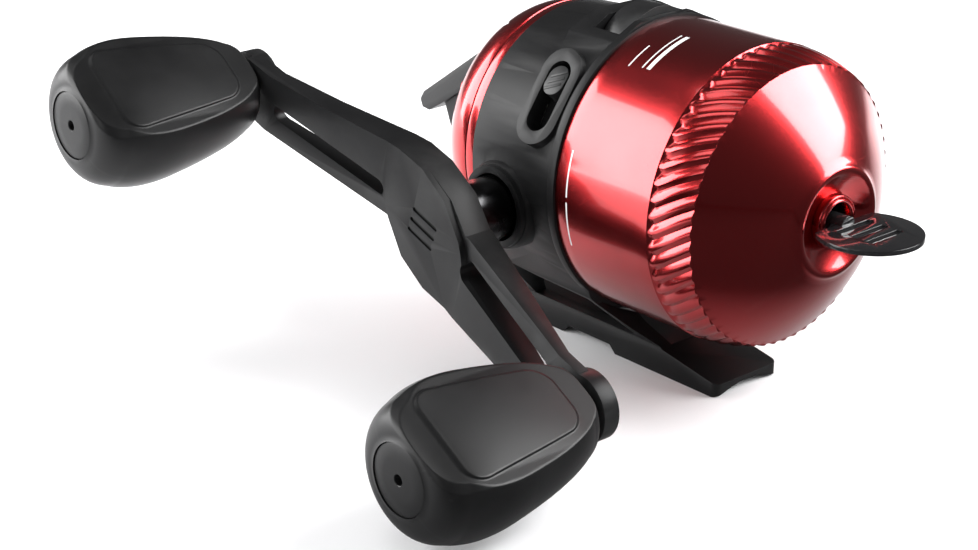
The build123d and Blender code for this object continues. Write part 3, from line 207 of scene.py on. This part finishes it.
def build_surface_life():
    """Node group for what use and making leave on a surface: mottling, grain, scratches, worn edges."""
    group = bpy.data.node_groups.new("surface_life", "ShaderNodeTree")
    for label, start in (("Grain Scale", 3000.0), ("Mottle Scale", 90.0), ("Scratch Scale", 260.0)):
        group.interface.new_socket(label, in_out="INPUT", socket_type="NodeSocketFloat").default_value = start
    for label in ("Grain", "Mottle", "Scratches", "Edge"):
        group.interface.new_socket(label, in_out="OUTPUT", socket_type="NodeSocketFloat")
    add, link = group.nodes.new, group.links.new
    way_in, way_out = add("NodeGroupInput"), add("NodeGroupOutput")
    place = add("ShaderNodeTexCoord")
    grain = add("ShaderNodeTexNoise")
    grain.inputs["Detail"].default_value = 6.0
    link(place.outputs["Object"], grain.inputs["Vector"])
    link(way_in.outputs["Grain Scale"], grain.inputs["Scale"])
    link(grain.outputs["Fac"], way_out.inputs["Grain"])
    mottle = add("ShaderNodeTexNoise")
    mottle.inputs["Detail"].default_value = 4.0
    mottle.inputs["Roughness"].default_value = 0.6
    link(place.outputs["Object"], mottle.inputs["Vector"])
    link(way_in.outputs["Mottle Scale"], mottle.inputs["Scale"])
    spread = add("ShaderNodeMapRange")
    spread.inputs["From Min"].default_value, spread.inputs["From Max"].default_value = 0.3, 0.7
    link(mottle.outputs["Fac"], spread.inputs["Value"])
    link(spread.outputs["Result"], way_out.inputs["Mottle"])
    bend = add("ShaderNodeVectorMath")
    bend.operation = "MULTIPLY_ADD"
    bend.inputs[1].default_value = (0.004, 0.004, 0.004)
    link(mottle.outputs["Color"], bend.inputs[0])
    link(place.outputs["Object"], bend.inputs[2])
    cells = add("ShaderNodeTexVoronoi")
    cells.feature = "DISTANCE_TO_EDGE"
    link(bend.outputs["Vector"], cells.inputs["Vector"])
    link(way_in.outputs["Scratch Scale"], cells.inputs["Scale"])
    line = add("ShaderNodeMapRange")
    line.inputs["From Min"].default_value, line.inputs["From Max"].default_value = 0.006, 0.0
    link(cells.outputs["Distance"], line.inputs["Value"])
    thin = add("ShaderNodeMath")
    thin.operation = "MULTIPLY"
    link(line.outputs["Result"], thin.inputs[0])
    link(spread.outputs["Result"], thin.inputs[1])
    link(thin.outputs["Value"], way_out.inputs["Scratches"])
    around = add("ShaderNodeNewGeometry")
    corner = add("ShaderNodeMapRange")
    corner.inputs["From Min"].default_value, corner.inputs["From Max"].default_value = 0.53, 0.66
    link(around.outputs["Pointiness"], corner.inputs["Value"])
    rub = add("ShaderNodeMath")
    rub.operation = "MULTIPLY"
    link(corner.outputs["Result"], rub.inputs[0])
    link(spread.outputs["Result"], rub.inputs[1])
    link(rub.outputs["Value"], way_out.inputs["Edge"])
    return group


surface_life = build_surface_life()


def new_finish(name, colour, shade, rub_colour, metallic, roughness, spread, scales, height, rub=0.5):
    """A material on the shared effects: two tones, rubbed edges, uneven roughness and a fine relief.

    scales holds the sizes of grain, mottle and scratches; height is the relief in millimetres.
    """
    material = bpy.data.materials.new(name)
    material.use_nodes = True
    tree = material.node_tree
    add, link = tree.nodes.new, tree.links.new
    shader = tree.nodes["Principled BSDF"]
    shader.inputs["Metallic"].default_value = metallic
    life = add("ShaderNodeGroup")
    life.node_tree = surface_life
    life.name = "life"
    for label, value in zip(("Grain Scale", "Mottle Scale", "Scratch Scale"), scales):
        life.inputs[label].default_value = value
    tone = add("ShaderNodeMix")
    tone.data_type = "RGBA"
    tone.name = "tone"
    tone.inputs[6].default_value, tone.inputs[7].default_value = (*colour, 1), (*shade, 1)
    link(life.outputs["Mottle"], tone.inputs[0])
    rubbed = add("ShaderNodeMix")
    rubbed.data_type = "RGBA"
    rubbed.name = "rubbed"
    rubbed.inputs[7].default_value = (*rub_colour, 1)
    link(tone.outputs[2], rubbed.inputs[6])
    amount = add("ShaderNodeMath")
    amount.operation = "MULTIPLY"
    amount.inputs[1].default_value = rub
    link(life.outputs["Edge"], amount.inputs[0])
    link(amount.outputs["Value"], rubbed.inputs[0])
    link(rubbed.outputs[2], shader.inputs["Base Color"])
    gloss = add("ShaderNodeMapRange")
    gloss.name = "gloss"
    gloss.inputs["To Min"].default_value = roughness - spread
    gloss.inputs["To Max"].default_value = roughness + spread
    link(life.outputs["Mottle"], gloss.inputs["Value"])
    scuffed = add("ShaderNodeMath")
    scuffed.operation = "MULTIPLY_ADD"
    scuffed.inputs[1].default_value = 0.03
    link(life.outputs["Scratches"], scuffed.inputs[0])
    link(gloss.outputs["Result"], scuffed.inputs[2])
    link(scuffed.outputs["Value"], shader.inputs["Roughness"])
    relief = add("ShaderNodeBump")
    relief.name = "relief"
    relief.inputs["Strength"].default_value = 1.0
    relief.inputs["Distance"].default_value = height * MM
    link(life.outputs["Grain"], relief.inputs["Height"])
    link(relief.outputs["Normal"], shader.inputs["Normal"])
    return material


def build_lathe_marks():
    """Node group for turning marks: fine rings round an axis that lies along the second coordinate."""
    group = bpy.data.node_groups.new("lathe_marks", "ShaderNodeTree")
    group.interface.new_socket("Position", in_out="INPUT", socket_type="NodeSocketVector")
    fineness = group.interface.new_socket("Fineness", in_out="INPUT", socket_type="NodeSocketFloat")
    fineness.default_value = 9000.0
    group.interface.new_socket("Rings", in_out="OUTPUT", socket_type="NodeSocketFloat")
    group.interface.new_socket("Station", in_out="OUTPUT", socket_type="NodeSocketFloat")
    group.interface.new_socket("Angle", in_out="OUTPUT", socket_type="NodeSocketFloat")
    add, link = group.nodes.new, group.links.new
    way_in, way_out = add("NodeGroupInput"), add("NodeGroupOutput")
    split = add("ShaderNodeSeparateXYZ")
    link(way_in.outputs["Position"], split.inputs["Vector"])
    angle = add("ShaderNodeMath")
    angle.operation = "ARCTAN2"
    link(split.outputs["Z"], angle.inputs[0])
    link(split.outputs["X"], angle.inputs[1])
    flat = add("ShaderNodeCombineXYZ")
    link(split.outputs["X"], flat.inputs["X"])
    link(split.outputs["Z"], flat.inputs["Y"])
    radius = add("ShaderNodeVectorMath")
    radius.operation = "LENGTH"
    link(flat.outputs["Vector"], radius.inputs[0])
    along_it = add("ShaderNodeCombineXYZ")
    link(radius.outputs["Value"], along_it.inputs["X"])
    link(split.outputs["Y"], along_it.inputs["Y"])
    scaled = add("ShaderNodeMath")
    scaled.operation = "MULTIPLY"
    scaled.inputs[1].default_value = 0.00012
    link(angle.outputs["Value"], scaled.inputs[0])
    link(scaled.outputs["Value"], along_it.inputs["Z"])
    rings = add("ShaderNodeTexNoise")
    rings.inputs["Detail"].default_value = 3.0
    link(along_it.outputs["Vector"], rings.inputs["Vector"])
    link(way_in.outputs["Fineness"], rings.inputs["Scale"])
    link(rings.outputs["Fac"], way_out.inputs["Rings"])
    link(split.outputs["Y"], way_out.inputs["Station"])
    link(angle.outputs["Value"], way_out.inputs["Angle"])
    return group


lathe_marks = build_lathe_marks()


def add_lathe_marks(material, centre, height, turn=(0, 0, 0), fineness=9000.0):
    """Puts turning marks under a finish, round an axis through the centre."""
    tree = material.node_tree
    add, link = tree.nodes.new, tree.links.new
    place = add("ShaderNodeTexCoord")
    shift = add("ShaderNodeMapping")
    shift.vector_type = "TEXTURE"
    shift.inputs["Location"].default_value = centre
    shift.inputs["Rotation"].default_value = turn
    marks = add("ShaderNodeGroup")
    marks.node_tree = lathe_marks
    marks.name = "marks"
    marks.inputs["Fineness"].default_value = fineness
    link(place.outputs["Object"], shift.inputs["Vector"])
    link(shift.outputs["Vector"], marks.inputs["Position"])
    relief = tree.nodes["relief"]
    rings = add("ShaderNodeBump")
    rings.inputs["Strength"].default_value = 1.0
    rings.inputs["Distance"].default_value = height * MM
    link(marks.outputs["Rings"], rings.inputs["Height"])
    link(relief.outputs["Normal"], rings.inputs["Normal"])
    link(rings.outputs["Normal"], tree.nodes["Principled BSDF"].inputs["Normal"])
    return marks


red_anodised = new_finish(
    "red_anodised", (0.60, 0.040, 0.044), (0.55, 0.032, 0.036), (0.75, 0.16, 0.15),
    1.0, 0.24, 0.02, (2500.0, 70.0, 200.0), 0.0006, rub=0.12,
)
red_anodised.node_tree.nodes["Principled BSDF"].inputs["Coat Weight"].default_value = 0.8
red_anodised.node_tree.nodes["Principled BSDF"].inputs["Coat Roughness"].default_value = 0.08
add_lathe_marks(red_anodised, (0, 0, AXIS_UP), 0.0008)


def add_pad_print(material, marks, lines):
    """Prints fine white lines round the barrel: each is (station, half width, middle angle, half angle)."""
    tree = material.node_tree
    add, link = tree.nodes.new, tree.links.new
    shader = tree.nodes["Principled BSDF"]
    total = None
    for station, half_width, middle, half_angle in lines:
        masks = []
        limits = (("Station", station * MM, half_width * MM), ("Angle", middle, half_angle))
        for output, value, tolerance in limits:
            mask = add("ShaderNodeMath")
            mask.operation = "COMPARE"
            mask.inputs[1].default_value, mask.inputs[2].default_value = value, tolerance
            link(marks.outputs[output], mask.inputs[0])
            masks.append(mask)
        both = add("ShaderNodeMath")
        both.operation = "MULTIPLY"
        link(masks[0].outputs["Value"], both.inputs[0])
        link(masks[1].outputs["Value"], both.inputs[1])
        if total is None:
            total = both
            continue
        joined = add("ShaderNodeMath")
        joined.operation = "MAXIMUM"
        link(total.outputs["Value"], joined.inputs[0])
        link(both.outputs["Value"], joined.inputs[1])
        total = joined
    ink = add("ShaderNodeMix")
    ink.data_type = "RGBA"
    ink.inputs[7].default_value = (0.82, 0.80, 0.80, 1)
    link(total.outputs["Value"], ink.inputs[0])
    link(tree.nodes["rubbed"].outputs[2], ink.inputs[6])
    link(ink.outputs[2], shader.inputs["Base Color"])
    bare = add("ShaderNodeMath")
    bare.operation = "SUBTRACT"
    bare.inputs[0].default_value = 1.0
    link(total.outputs["Value"], bare.inputs[1])
    link(bare.outputs["Value"], shader.inputs["Metallic"])


# The front cover has its own copy of the finish, with plain pinstripes printed on the barrel.
cover_finish = red_anodised.copy()
cover_finish.name = "red_anodised_printed"
PINSTRIPES = [
    (-12.3, 0.16, math.radians(170), math.radians(9)),
    (-12.3, 0.16, math.radians(-170), math.radians(9)),
    (-18.6, 0.42, math.radians(112), math.radians(11)),
    (-17.3, 0.14, math.radians(112), math.radians(11)),
    (-14.6, 0.14, math.radians(118), math.radians(6)),
]
add_pad_print(cover_finish, cover_finish.node_tree.nodes["marks"], PINSTRIPES)

flute_rows = [CONE_END + 0.04 + (FLUTE_END - CONE_END) * number / 13 for number in range(14)]
flute_rows += [FLUTE_END + (BARREL_START - FLUTE_END) * number / 7 for number in range(1, 7)]
cover_outline = [(NOSE + 1.5, 4.4)]
cover_outline += arc_through((NOSE + 1.4, 4.8), (NOSE + 0.75, 6.4), (NOSE - 0.05, 7.9), 8)
cover_outline += arc_through((NOSE - 0.2, 8.25), (NOSE - 0.2, 8.8), (NOSE + 0.2, 9.3), 8)
cover_outline += arc_through((NOSE + 0.5, 9.65), (-43.15, 16.3), (CONE_END, 23.05), 16)
cover_outline += [(row, 24.0) for row in flute_rows]
cover_outline += [(BARREL_START + (SEAM - 0.2 - BARREL_START) * number / 8, 25.0) for number in range(9)]
cover_outline += [(SEAM - 0.05, 24.95), (SEAM, 24.8), (SEAM, 23.75), (BARREL_START, 23.75)]
cover_outline += [(-37.3, 21.85), (-44.15, 7.9), (-44.15, 4.4)]
cover = turned(cover_outline, FLUTES * STEPS_PER_FLUTE, SPOOL_CENTRE, ALONG, Vector((0, 0, 1)))
TOOTH = (0.0, 0.42, 0.78, 1.0, 0.96, 0.34)  # height across one flute, steep on one side
VALLEY_R, VALLEY_SWELL = 22.9, 1.4  # radius at the flutes' front end and its growth to the back end
PEAK_R, PEAK_SWELL = 23.35, 1.5
RUN_OUT_R, BARREL_R = 24.0, 25.0  # the flutes run out on a slope between these
RUN_OUT_RATE = 1.15
for corner in cover.verts:
    station = corner.co.y / MM
    side, up = corner.co.x, corner.co.z - AXIS_UP
    radius = math.hypot(side, up) / MM
    if radius < 23.9 and station > CONE_END + 0.02 or station < CONE_END + 0.02:
        continue
    angle = math.atan2(up, side)
    share = min(1.0, (station - CONE_END) / (FLUTE_END - CONE_END))
    if station < BARREL_START - 0.01:
        tooth = TOOTH[round(angle / math.tau * FLUTES * STEPS_PER_FLUTE) % STEPS_PER_FLUTE]
        swell = math.sin(share * math.pi / 2)
        low, high = VALLEY_R + VALLEY_SWELL * swell, PEAK_R + PEAK_SWELL * swell
        radius = low + (high - low) * tooth
        past = max(0.0, (station - FLUTE_END) / (BARREL_START - FLUTE_END))
        if past:
            slope = min(1.0, past * RUN_OUT_RATE)
            radius = max(radius, RUN_OUT_R + (BARREL_R - RUN_OUT_R) * slope)
    angle += FLUTE_SLANT * share
    corner.co.x = radius * MM * math.cos(angle)
    corner.co.z = AXIS_UP + radius * MM * math.sin(angle)
settle(cover, "front_shell", cover_finish, "housing", "red_anodised", "front_cover", sharp=24)

# ---- Line guide: double-lipped eyelet in the nose ---------------------------------------------
# A turned aluminium ring, polished and anodised like the cover and pressed into the nose. The
# line runs over its rounded lips, so there are no edges inside.
eyelet_outline = [(NOSE + 1.75, 4.3), (NOSE + 0.9, 4.45)]
eyelet_outline += arc_through((NOSE + 0.35, 4.45), (NOSE + 0.05, 4.2), (NOSE + 0.35, 3.95), 6)
eyelet_outline += arc_through((NOSE + 0.15, 3.9), (NOSE - 0.25, 3.55), (NOSE + 0.1, 3.2), 7)
eyelet_outline += [(NOSE + 1.2, 2.95), (NOSE + 3.0, 2.7), (-42.6, 3.1), (-42.6, 4.3)]
eyelet = turned(eyelet_outline, 128, SPOOL_CENTRE, ALONG, Vector((0, 0, 1)))
settle(eyelet, "eyelet", red_anodised, "housing", "red_anodised", "line_guide_ring", sharp=50)

# ---- Keeper tab --------------------------------------------------------------------------------
# Stamped and gloss-painted round plate on a stem that pushes into the guide ring, so that the
# line's end is held while the reel is off its rod.


def softened(name, width, segments=2, corner=32.0, flat=2.0):
    """A copy of a CAD node with its faces joined up and its corners rounded."""
    shape = bmesh.new()
    shape.from_mesh(nodes[name].data)
    bmesh.ops.remove_doubles(shape, verts=shape.verts, dist=2e-6)
    bmesh.ops.dissolve_degenerate(shape, edges=shape.edges, dist=1e-6)
    bmesh.ops.dissolve_limit(shape, angle_limit=math.radians(flat), verts=shape.verts, edges=shape.edges)
    edges = [e for e in shape.edges if e.is_manifold and e.calc_face_angle(0) > math.radians(corner)]
    bmesh.ops.bevel(
        shape, geom=edges, affect="EDGES", offset=width * MM, offset_type="OFFSET", segments=segments,
        profile=0.5, material=-1, clamp_overlap=True, miter_outer="SHARP", loop_slide=True,
    )
    return shape


gloss_tab = new_finish(
    "gloss_tab", (0.010, 0.010, 0.011), (0.014, 0.014, 0.015), (0.10, 0.10, 0.10),
    0.0, 0.16, 0.04, (2200.0, 120.0, 260.0), 0.0015, rub=0.3,
)
gloss_tab.node_tree.nodes["Principled BSDF"].inputs["Coat Weight"].default_value = 0.7
settle(softened("line_tab", 0.18), "keeper_plate", gloss_tab, "keeper", "gloss_tab", "line_tab")

# ---- Body housing: collar, crank boss, drag hump, switch pad, pedestal and foot ---------------
# One injection moulding in glass-filled nylon, with a finely spark-eroded satin texture. The foot
# carries the rod's clamping force, so it is thick and joined by a forked pedestal.
body_plastic = new_finish(
    "body_plastic", (0.007, 0.007, 0.0073), (0.010, 0.010, 0.0105), (0.05, 0.05, 0.05),
    0.0, 0.40, 0.05, (5200.0, 110.0, 210.0), 0.006, rub=0.35,
)
body_plastic.node_tree.nodes["Principled BSDF"].inputs["Specular IOR Level"].default_value = 0.2
body = softened("body_housing", 0.22)
settle(body, "body_shell", body_plastic, "housing", "body_plastic", "body_housing")

# ---- Bite switch: ribbed slider in the collar's slot -----------------------------------------
# A small acetal slide with three slanted finger ribs. It clicks between two places in the
# collar's slot, beside the raised pad, and turns the click on the line's pull on or off.
switch_plastic = new_finish(
    "switch_plastic", (0.010, 0.010, 0.0105), (0.014, 0.014, 0.0145), (0.07, 0.07, 0.07),
    0.0, 0.36, 0.05, (4200.0, 160.0, 300.0), 0.004, rub=0.4,
)
switch_plastic.node_tree.nodes["Principled BSDF"].inputs["Specular IOR Level"].default_value = 0.35
slider = softened("bite_switch", 0.15)
settle(slider, "switch_slide_piece", switch_plastic, "switch", "switch_plastic", "bite_switch")
SWITCH_REST = math.radians(138.6)  # place round the collar, from +X
SWITCH_STATION = -3.0
RIB_SIZE = (3.4, 0.55, 0.5)
RIB_SLANT = math.radians(28)
RIB_PITCH, RIB_ROUND, RIB_SINK = 1.15, 0.14, 0.12
switch_out = Vector((math.cos(SWITCH_REST), 0, math.sin(SWITCH_REST)))
switch_round = Vector((-math.sin(SWITCH_REST), 0, math.cos(SWITCH_REST)))
switch_top = max((v.co - SPOOL_CENTRE).dot(switch_out) for v in nodes["bite_switch"].data.vertices)
ribs = bmesh.new()
for number in (-1, 0, 1):
    rib = bmesh.ops.create_cube(ribs, size=1.0)["verts"]
    bmesh.ops.scale(ribs, vec=Vector(RIB_SIZE) * MM, verts=rib)
    bmesh.ops.rotate(ribs, cent=(0, 0, 0), matrix=Matrix.Rotation(RIB_SLANT, 3, "Z"), verts=rib)
    bmesh.ops.translate(ribs, vec=(0, number * RIB_PITCH * MM, 0), verts=rib)
bmesh.ops.bevel(
    ribs, geom=list(ribs.edges), affect="EDGES", offset=RIB_ROUND * MM, offset_type="OFFSET",
    segments=2, profile=0.5, material=-1,
)
place = Matrix((
    (0, switch_round.x, switch_out.x, 0),
    (1, 0, 0, SWITCH_STATION * MM),
    (0, switch_round.z, switch_out.z, AXIS_UP),
    (0, 0, 0, 1),
))
place = place @ Matrix.Translation((0, 0, switch_top - RIB_SINK * MM))
bmesh.ops.transform(ribs, matrix=place, verts=ribs.verts)
bmesh.ops.recalc_face_normals(ribs, faces=ribs.faces)
settle(ribs, "switch_ribs", switch_plastic, "switch", "switch_plastic")

# ---- Drag wheel ---------------------------------------------------------------------------------
# Moulded thumb wheel with coarse blocks round its rim, running on a steel pin in the hump. Only
# its top comes through the body, where a thumb can turn it to set the spool's drag.
wheel = softened("drag_wheel", 0.2)
settle(wheel, "drag_dial_piece", switch_plastic, "drag_dial", "switch_plastic", "drag_wheel")

# ---- Rear cover ---------------------------------------------------------------------------------
# Turned and anodised like the front one, with a groove round it, and held by two screws. Its
# dome closes the body behind the thumb button.
settle(softened("rear_cover", 0.2), "rear_shell", red_anodised, "housing", "red_anodised", "rear_cover")

# ---- Thumb button --------------------------------------------------------------------------------
# Wide moulded lever on a steel cross pin. Its upper face stands proud of the side skirts, and
# its edges are well rounded for the thumb.
button_plastic = new_finish(
    "button_plastic", (0.010, 0.010, 0.0105), (0.014, 0.014, 0.0145), (0.06, 0.06, 0.06),
    0.0, 0.40, 0.05, (5200.0, 100.0, 210.0), 0.006, rub=0.35,
)
button_plastic.node_tree.nodes["Principled BSDF"].inputs["Specular IOR Level"].default_value = 0.35
lever = softened("thumb_button", 0.45, segments=3)
settle(lever, "thumb_lever", button_plastic, "thumb", "button_plastic", "thumb_button")

# ---- Crank handle --------------------------------------------------------------------------------
# Die-cast and painted arm: a raised S-shaped face, a long lightening slot each side and a round
# boss at each end for the knob's spindle. A sleeve under the hub turns in the body's boss.
handle_metal = new_finish(
    "handle_metal", (0.009, 0.009, 0.0095), (0.013, 0.013, 0.0135), (0.07, 0.07, 0.07),
    0.0, 0.38, 0.05, (3800.0, 90.0, 220.0), 0.006, rub=0.4,
)
handle_metal.node_tree.nodes["Principled BSDF"].inputs["Specular IOR Level"].default_value = 0.16
arm = softened("handle_arm", 0.35, segments=3)
settle(arm, "crank_arm", handle_metal, "crank", "handle_metal", "handle_arm")
black_chrome = new_finish(
    "black_chrome", (0.05, 0.05, 0.052), (0.06, 0.06, 0.062), (0.3, 0.3, 0.3),
    1.0, 0.25, 0.05, (2600.0, 120.0, 260.0), 0.001, rub=0.4,
)
settle(softened("hub_sleeve", 0.15), "sleeve", black_chrome, "crank", "black_chrome", "hub_sleeve")

# ---- Knobs ----------------------------------------------------------------------------------------
# Hollow mouldings with a satin soft-touch coat, loose on steel spindles. Each has a broad flat
# side with a framed, slightly crowned panel, and a round cap in its domed end.
CRANK_Y, CRANK_UP = 4.7, 28.46
REACH, HANDLE_TILT = 44.7, math.radians(20.5)
KNOB_OUT, KNOB_IN = -80.0, -47.1
KNOB_LENGTH = KNOB_IN - KNOB_OUT
CAP_R = 5.7
knob_plastic = new_finish(
    "knob_plastic", (0.006, 0.006, 0.0063), (0.009, 0.009, 0.0095), (0.035, 0.035, 0.035),
    0.0, 0.36, 0.05, (6500.0, 80.0, 180.0), 0.004, rub=0.3,
)
knob_plastic.node_tree.nodes["Principled BSDF"].inputs["Specular IOR Level"].default_value = 0.26
knob_profile = [(0.0, CAP_R), (0.12, CAP_R + 0.15)]
knob_profile += arc_through((0.3, 6.6), (1.5, 9.4), (4.2, 11.0), 26)
knob_profile += arc_through((4.5, 11.1), (9.5, 12.2), (16.0, 11.75), 50)
knob_profile += arc_through((16.2, 11.72), (25.0, 10.0), (30.6, 8.0), 60)
knob_profile += arc_through((30.8, 7.9), (32.5, 6.9), (KNOB_LENGTH, 5.6), 16)
KNOB_STEPS = 380
FLAT_MID, FLAT_FALL, FLAT_NOSE = 7.4, 1.15, 0.4  # flat side's height, and its fall to both ends
BACK_FLAT = 9.7  # height of the opposite side
PANEL_HALF_OUT, PANEL_HALF_IN = 9.0, 5.8  # half widths of the framed panel at its two ends
PANEL_START, PANEL_END, PANEL_CORNER = 4.6, 29.0, 3.6
PANEL_SINK, PANEL_STEP, PANEL_CROWN = 0.35, 0.3, 0.45
CROWN_HALF, CROWN_MID, CROWN_LENGTH = 8.6, 17.3, 11.7


def ease(value, start, end):
    """0 before start, 1 after end, smooth between."""
    t = min(1.0, max(0.0, (value - start) / (end - start)))
    return t * t * (3 - 2 * t)


def panel_distance(station, side):
    """Distance inside (+) or outside (-) of the rounded trapezoid on the knob's flat side."""
    length, middle = PANEL_END - PANEL_START, (PANEL_START + PANEL_END) / 2
    share = min(1.0, max(0.0, (station - PANEL_START) / length))
    half = PANEL_HALF_OUT + (PANEL_HALF_IN - PANEL_HALF_OUT) * share
    across = abs(side) - (half - PANEL_CORNER)
    lengthwise = abs(station - middle) - (length / 2 - PANEL_CORNER)
    outside = math.hypot(max(across, 0.0), max(lengthwise, 0.0))
    return PANEL_CORNER - outside - min(max(across, lengthwise), 0.0)


def make_knob(facing):
    """One knob round the origin of its own axis, flat side towards the facing angle."""
    wall = knob_profile + [(KNOB_LENGTH, 1.7), (2.0, 1.7), (2.0, CAP_R - 0.05)]
    shape = turned(wall, KNOB_STEPS, Vector((0, 0, 0)), Vector((1, 0, 0)), Vector((0, 0, 1)))
    for corner in shape.verts:
        station = corner.co.x / MM
        radius = math.hypot(corner.co.y, corner.co.z) / MM
        if radius < CAP_R + 0.05 and station < 30.0 or radius < 2.0:
            continue
        angle = math.atan2(corner.co.z, corner.co.y) - facing
        lean = math.cos(angle)
        flat = FLAT_MID - FLAT_FALL * ease(station, 4.0, 32.0) - FLAT_NOSE * ease(station, 6.0, 1.0)
        band = 1.2 + 1.6 * ease(station, 9.0, 3.0)
        new_radius = min(radius, BACK_FLAT / max(1e-6, -lean)) if lean < 0 else radius
        if lean > 0.05:
            frame_radius = flat / lean
            side = frame_radius * math.sin(angle)
            inside = panel_distance(station, side)
            crown = max(0.0, 1 - (side / CROWN_HALF) ** 2)
            crown *= max(0.0, 1 - ((station - CROWN_MID) / CROWN_LENGTH) ** 2)
            raised = flat - PANEL_SINK + PANEL_STEP * ease(inside, -0.15, 0.45) + PANEL_CROWN * crown
            new_radius = min(radius, raised / lean)
            if inside < 0:
                new_radius = min(new_radius, (radius + flat - band * 0.5 + 0.25) / (1 + lean))
        scale = new_radius / radius
        corner.co.y *= scale
        corner.co.z *= scale
    return shape


for side, sign, facing in (("near", -1, 120.0), ("far", 1, 126.0)):
    knob_y = CRANK_Y + sign * REACH * math.cos(HANDLE_TILT)
    knob_up = CRANK_UP + sign * REACH * math.sin(HANDLE_TILT)
    knob = make_knob(math.radians(facing))
    centre = Vector((KNOB_OUT, knob_y, knob_up)) * MM
    bmesh.ops.translate(knob, vec=centre, verts=knob.verts)
    settle(knob, f"grip_{side}", knob_plastic, f"{side}_knob", "knob_plastic", f"knob_{side}", sharp=80)
    cap_outline = [(1.9, 0.85), (0.1, 0.85), (0.0, 0.95), (0.02, 3.2)]
    cap_outline += [(0.1, CAP_R - 0.35), (0.25, CAP_R - 0.1), (1.9, CAP_R - 0.1)]
    cap = turned(cap_outline, 96, centre, Vector((1, 0, 0)), Vector((0, 0, 1)))
    body_name, cad_name = f"{side}_knob", f"knob_cap_{side}"
    settle(cap, f"grip_cap_{side}", knob_plastic, body_name, "knob_plastic", cad_name, sharp=30)

# ---- Inner works -----------------------------------------------------------------------------------
# Gears, shafts, spool and drag run unseen inside the covers. They keep their CAD shapes, with the
# finishes of machined steel, brass and moulded acetal.
steel = new_finish(
    "steel", (0.46, 0.46, 0.47), (0.40, 0.40, 0.41), (0.62, 0.62, 0.62),
    1.0, 0.26, 0.05, (3000.0, 140.0, 320.0), 0.001, rub=0.5,
)
screw_steel = new_finish(
    "screw_steel", (0.36, 0.36, 0.37), (0.28, 0.28, 0.29), (0.6, 0.6, 0.6),
    1.0, 0.34, 0.06, (3600.0, 220.0, 500.0), 0.002, rub=0.6,
)
brass = new_finish(
    "brass", (0.62, 0.44, 0.17), (0.50, 0.34, 0.13), (0.8, 0.64, 0.34),
    1.0, 0.28, 0.06, (3000.0, 160.0, 320.0), 0.0015, rub=0.5,
)
gear_metal = new_finish(
    "gear_metal", (0.42, 0.41, 0.40), (0.34, 0.33, 0.32), (0.62, 0.61, 0.60),
    1.0, 0.36, 0.06, (2600.0, 180.0, 300.0), 0.003, rub=0.6,
)
cast_metal = new_finish(
    "cast_metal", (0.33, 0.33, 0.34), (0.27, 0.27, 0.28), (0.5, 0.5, 0.5),
    1.0, 0.48, 0.08, (2200.0, 120.0, 240.0), 0.008, rub=0.4,
)
acetal = new_finish(
    "acetal", (0.70, 0.70, 0.67), (0.64, 0.64, 0.60), (0.8, 0.8, 0.78),
    0.0, 0.38, 0.05, (3800.0, 120.0, 260.0), 0.003, rub=0.2,
)
drag_felt = new_finish(
    "drag_felt", (0.20, 0.17, 0.13), (0.13, 0.11, 0.09), (0.25, 0.22, 0.18),
    0.0, 0.92, 0.05, (9000.0, 500.0, 900.0), 0.05, rub=0.2,
)
seal_rubber = new_finish(
    "seal_rubber", (0.012, 0.012, 0.012), (0.018, 0.018, 0.018), (0.03, 0.03, 0.03),
    0.0, 0.62, 0.06, (5200.0, 200.0, 320.0), 0.004, rub=0.2,
)
fishing_line = new_finish(
    "fishing_line", (0.55, 0.60, 0.56), (0.42, 0.48, 0.44), (0.7, 0.74, 0.7),
    0.0, 0.24, 0.05, (4200.0, 260.0, 420.0), 0.002, rub=0.2,
)
add_lathe_marks(fishing_line, (0, 0, AXIS_UP), 0.08, fineness=5200.0)
finishes = {
    "red_anodised": red_anodised, "body_plastic": body_plastic, "button_plastic": button_plastic,
    "switch_plastic": switch_plastic, "knob_plastic": knob_plastic, "handle_metal": handle_metal,
    "gloss_tab": gloss_tab, "black_chrome": black_chrome, "steel": steel, "screw_steel": screw_steel,
    "brass": brass, "gear_metal": gear_metal, "cast_metal": cast_metal, "acetal": acetal,
    "drag_felt": drag_felt, "seal_rubber": seal_rubber, "fishing_line": fishing_line,
}
for subpart in frame["record"]["subparts"]:
    cad_slots = nodes[subpart["node"]].data.materials
    cad_slots.clear()
    cad_slots.append(finishes[subpart["material_slot"]])
